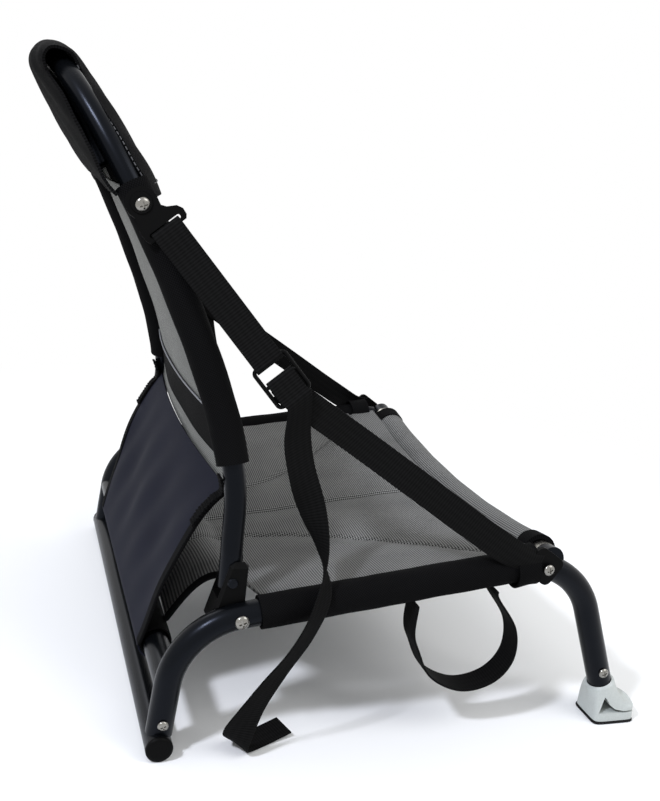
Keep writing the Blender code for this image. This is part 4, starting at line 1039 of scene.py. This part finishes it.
# %% Tie loops
for name, side in SIDES.items():
    x = side * RAIL_X
    top = -(SLEEVE_R + 0.0012)
    knots = [
        (x, -0.2070, rail_z(-0.2070) + top), (x, -0.2070, rail_z(-0.2070) + top - 0.025),
        (x, -0.2130, 0.0850), (x, -0.2290, 0.0580), (x, -0.2600, 0.0430), (x, -0.2900, 0.0490),
        (x, -0.3060, 0.0700), (x, -0.3030, 0.1000), (x, -0.2815, rail_z(-0.2815) + top - 0.008),
        (x, -0.2790, rail_z(-0.2790) + top),
    ]
    line = smooth(knots, 8)
    loop = strap(f"tie_web_{name}", line, [Vector((1, 0, 0))] * len(line))
    settle(loop, WEBBING, "seat", "webbing", f"tie_loop_{name}")


# %% [markdown]
# ## Apron
# An apron of coated navy cloth closes the gap under the back: it is sewn to the lower strip, hangs down behind
# and turns round the rear cross bar. Each side edge is bound with a folded tape. Both ends are held, so the
# sheet only waves between them, which sine waves draw well enough without a simulation.

# %% Apron
APRON_TOP = 0.2105
APRON_TURN = 0.86


def apron_place(s, t):
    """The apron from the back's lower edge, down and round the rear cross bar."""
    reach = SLEEVE_R + 0.0013
    top_y = back_at(APRON_TOP).y + 0.014
    if t <= APRON_TURN:
        u = t / APRON_TURN
        half = 0.1750 - 0.0250 * u**0.7
        sewn = (0.0100 * (1 - s * s) - 0.0110) * (1 - u) ** 6
        y = top_y + (CROSS.y + reach - top_y) * u**0.85
        z = APRON_TOP + (CROSS.z - APRON_TOP) * u
        wave = 0.0022 * math.sin(6 * s + 3 * u) * math.sin(math.pi * u) + 0.0012 * math.sin(17 * s - 9 * u)
        return Vector((half * s, y + wave * math.sin(math.pi * u) + sewn, z))
    angle = math.radians(120) * (t - APRON_TURN) / (1 - APRON_TURN)
    return Vector((0.150 * s, CROSS.y + reach * math.cos(angle), CROSS.z - reach * math.sin(angle)))


skirt = cloth("apron_cloth", apron_place, 0.31, 0.185, 90, 70, 0.0014)
settle(skirt, NAVY_CLOTH, None, "navy_fabric", "apron")

bindings = []
for name, side in SIDES.items():
    edge = [apron_place(side, APRON_TURN * k / 40) for k in range(41)]
    trim = strap(f"apron_binding_{name}", edge, [Vector((1, 0, 0))] * 41, 0.0110, 0.0030)
    bindings.append(settle(trim, BLACK_CLOTH, None, "navy_fabric"))

# %% [markdown]
# ## Gathered elastic
# A short elastic draws the apron's top corners up to the back tube. Elastic sewn while stretched gathers when
# it lets go, so its line wriggles a little. It lies on the apron's edge and stays with the back.

# %% Gathered elastic
ELASTIC_Z = 0.2235
for name, side in SIDES.items():
    at = back_at(ELASTIC_Z, side)
    start = Vector((at.x - side * BACK_R * 0.5, at.y + BACK_R + 0.0020, ELASTIC_Z))
    lie = Vector((side * 0.0010, 0.0032, 0))
    line = smooth([start, *(apron_place(side, t) + lie for t in (0.01, 0.06, 0.12, 0.19))], 12)
    gathers = []
    for k, point in enumerate(line):
        gathers.append(point + Vector((side * 0.0009 * math.sin(1.9 * k), 0.0006 * math.sin(2.3 * k), 0)))
    elastic = strap(f"gathered_elastic_{name}", gathers, [Vector((1, 0, 0))] * len(line), 0.0120, 0.0022)
    settle(elastic, BLACK_CLOTH, "backrest", "black_fabric", f"apron_elastic_{name}")

# %% [markdown]
# ## Feet
# Each leg ends in a pale moulded foot: a block that slopes up to a low rim round the tube, with an arched
# hook on its outer side that clips over a rail of the deck. The block is a grid wrapped round the leg, from the
# outline of its base to the rim, and the hook's opening is cut from the side.

# %% Foot and sole shapes
LEG_RUN = Vector((0, -math.sin(LEG_LEAN), -math.cos(LEG_LEAN)))
LEG_END = Vector((RAIL_X, rail_line(1)[-1].y, rail_line(1)[-1].z))
FOOT_X, FOOT_HALF = 0.2155, 0.0178
FOOT_TOE, FOOT_HEEL = -0.4430, -0.4012
RIM_R, BORE_R = 0.0136, 0.0114
RIM_AT, BORE_AT = 0.94, 0.98
HOOK_OPENING = [
    (-0.4042, 0.0102), (-0.4090, 0.0262), (-0.4108, 0.0248), (-0.4150, 0.0185), (-0.4210, 0.0142),
    (-0.4300, 0.0120), (-0.4480, 0.0124), (-0.4480, 0.0108), (-0.4300, 0.0102), (-0.4150, 0.0110),
]
HOOK_X, HOOK_DEPTH = 0.2400, 0.0310


def foot_place(side, base_low, base_high):
    """Points of a foot: t runs from its base up to its rim, and over into the rim's bore."""
    middle = (base_low + base_high) / 2
    half = (base_high - base_low) / 2
    rim_at = LEG_END - LEG_RUN * 0.0125
    tilt = Vector((0, -LEG_RUN.z, LEG_RUN.y))

    def place(s, t):
        c, n = math.cos(math.pi * s), math.sin(math.pi * s)
        size = (abs(c) ** 8 + abs(n) ** 8) ** -0.125
        base = Vector((middle.x + half.x * c * size, middle.y + half.y * n * size, base_low.z))
        ring = RIM_R if t < RIM_AT else BORE_R
        rim = Vector((side * rim_at.x, rim_at.y, rim_at.z)) + (Vector((c, 0, 0)) + tilt * n) * ring
        if t >= RIM_AT:
            return rim - LEG_RUN * (0.0006 if t < BORE_AT else -0.004)
        u = t / RIM_AT
        toe, inner = max(0.0, -n) ** 1.3, max(0.0, -side * c)
        past = max(0.0, (u - 0.25) / 0.75)
        rise = u * (1 - toe) + toe * (0.42 * min(1.0, u / 0.25) + 0.58 * past**1.9)
        move = u ** (1.5 + 3 * inner) * (1 - toe) + toe * past**0.65
        spot = base.lerp(rim, min(1.0, move))
        spot.z = base.z + (rim.z - base.z) * min(1.0, rise)
        return spot

    return place


def sole_place(base_low, base_high, top_z):
    """Points of a thin sole a little wider than a foot's base."""
    middle, half = (base_low + base_high) / 2, (base_high - base_low) / 2 + Vector((0.0008, 0.0008, 0))

    def place(s, t):
        c, n = math.cos(math.pi * s), math.sin(math.pi * s)
        size = (abs(c) ** 8 + abs(n) ** 8) ** -0.125 * (1 if 0.2 < t < 0.8 else 0.985)
        return Vector((middle.x + half.x * c * size, middle.y + half.y * n * size, top_z * t))

    return place


def wrapped(name, place, around, rows):
    """A closed form: a grid joined into a ring, with its two open ends filled."""
    return close_up(cloth(name, place, 0.1, 0.04, around, rows), fill=True)


def hook_cutter(side):
    """The hook's opening as a flat face outside the foot, extruded inwards."""
    bpy.ops.mesh.primitive_circle_add(vertices=len(HOOK_OPENING), radius=0.01, fill_type="NGON")
    cutter = bpy.context.object
    for vertex, (y, z) in zip(cutter.data.vertices, HOOK_OPENING):
        vertex.co = (side * HOOK_X, y, z)
    bpy.ops.object.mode_set(mode="EDIT")
    bpy.ops.mesh.select_all(action="SELECT")
    bpy.ops.mesh.extrude_region_move(TRANSFORM_OT_translate={"value": (-side * HOOK_DEPTH, 0, 0)})
    bpy.ops.object.mode_set(mode="OBJECT")
    return close_up(cutter)


# %% Feet and soles
for name, side in SIDES.items():
    top_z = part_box(f"foot_sole_{name}")[1].z
    base_low = Vector((side * FOOT_X - FOOT_HALF, FOOT_TOE, top_z + AIR))
    base_high = Vector((side * FOOT_X + FOOT_HALF, FOOT_HEEL, top_z + AIR))
    print("sole", name, "is", round(1000 * top_z, 1), "mm thick")
    sole = wrapped(f"rubber_sole_{name}", sole_place(base_low, base_high, top_z), 72, 6)
    settle(sole, RUBBER, "seat", "sole_rubber", f"foot_sole_{name}")
    foot = wrapped(f"clip_foot_{name}", foot_place(side, base_low, base_high), 80, 34)
    cutter = hook_cutter(side)
    modify(foot, "BOOLEAN", operation="DIFFERENCE", solver="EXACT", object=cutter)
    bpy.data.objects.remove(cutter, do_unlink=True)
    settle(foot, PALE_NYLON, "seat", "grey_plastic", f"front_foot_{name}", angle=35)

# %% [markdown]
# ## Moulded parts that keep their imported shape
# The brackets, pins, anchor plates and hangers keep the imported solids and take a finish.

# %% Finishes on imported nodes
PACKED = {"pivot_bracket": NYLON, "strap_hanger": NYLON, "strap_anchor": NYLON, "pivot_pin": TUBE,
          "hanger_washer": NYLON}
for name in SIDES:
    for part, material in PACKED.items():
        mesh = frame["nodes"][f"{part}_{name}"].data
        mesh.materials.clear()
        mesh.materials.append(material)

# %% [markdown]
# ## The apron's placement
# The back folds forward on its pivots. The apron and its bindings hang between the seat and the back and belong
# to neither body, so their placements are baked into their meshes.

# %% Baked placements
for cover in (skirt, *bindings):
    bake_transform(cover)
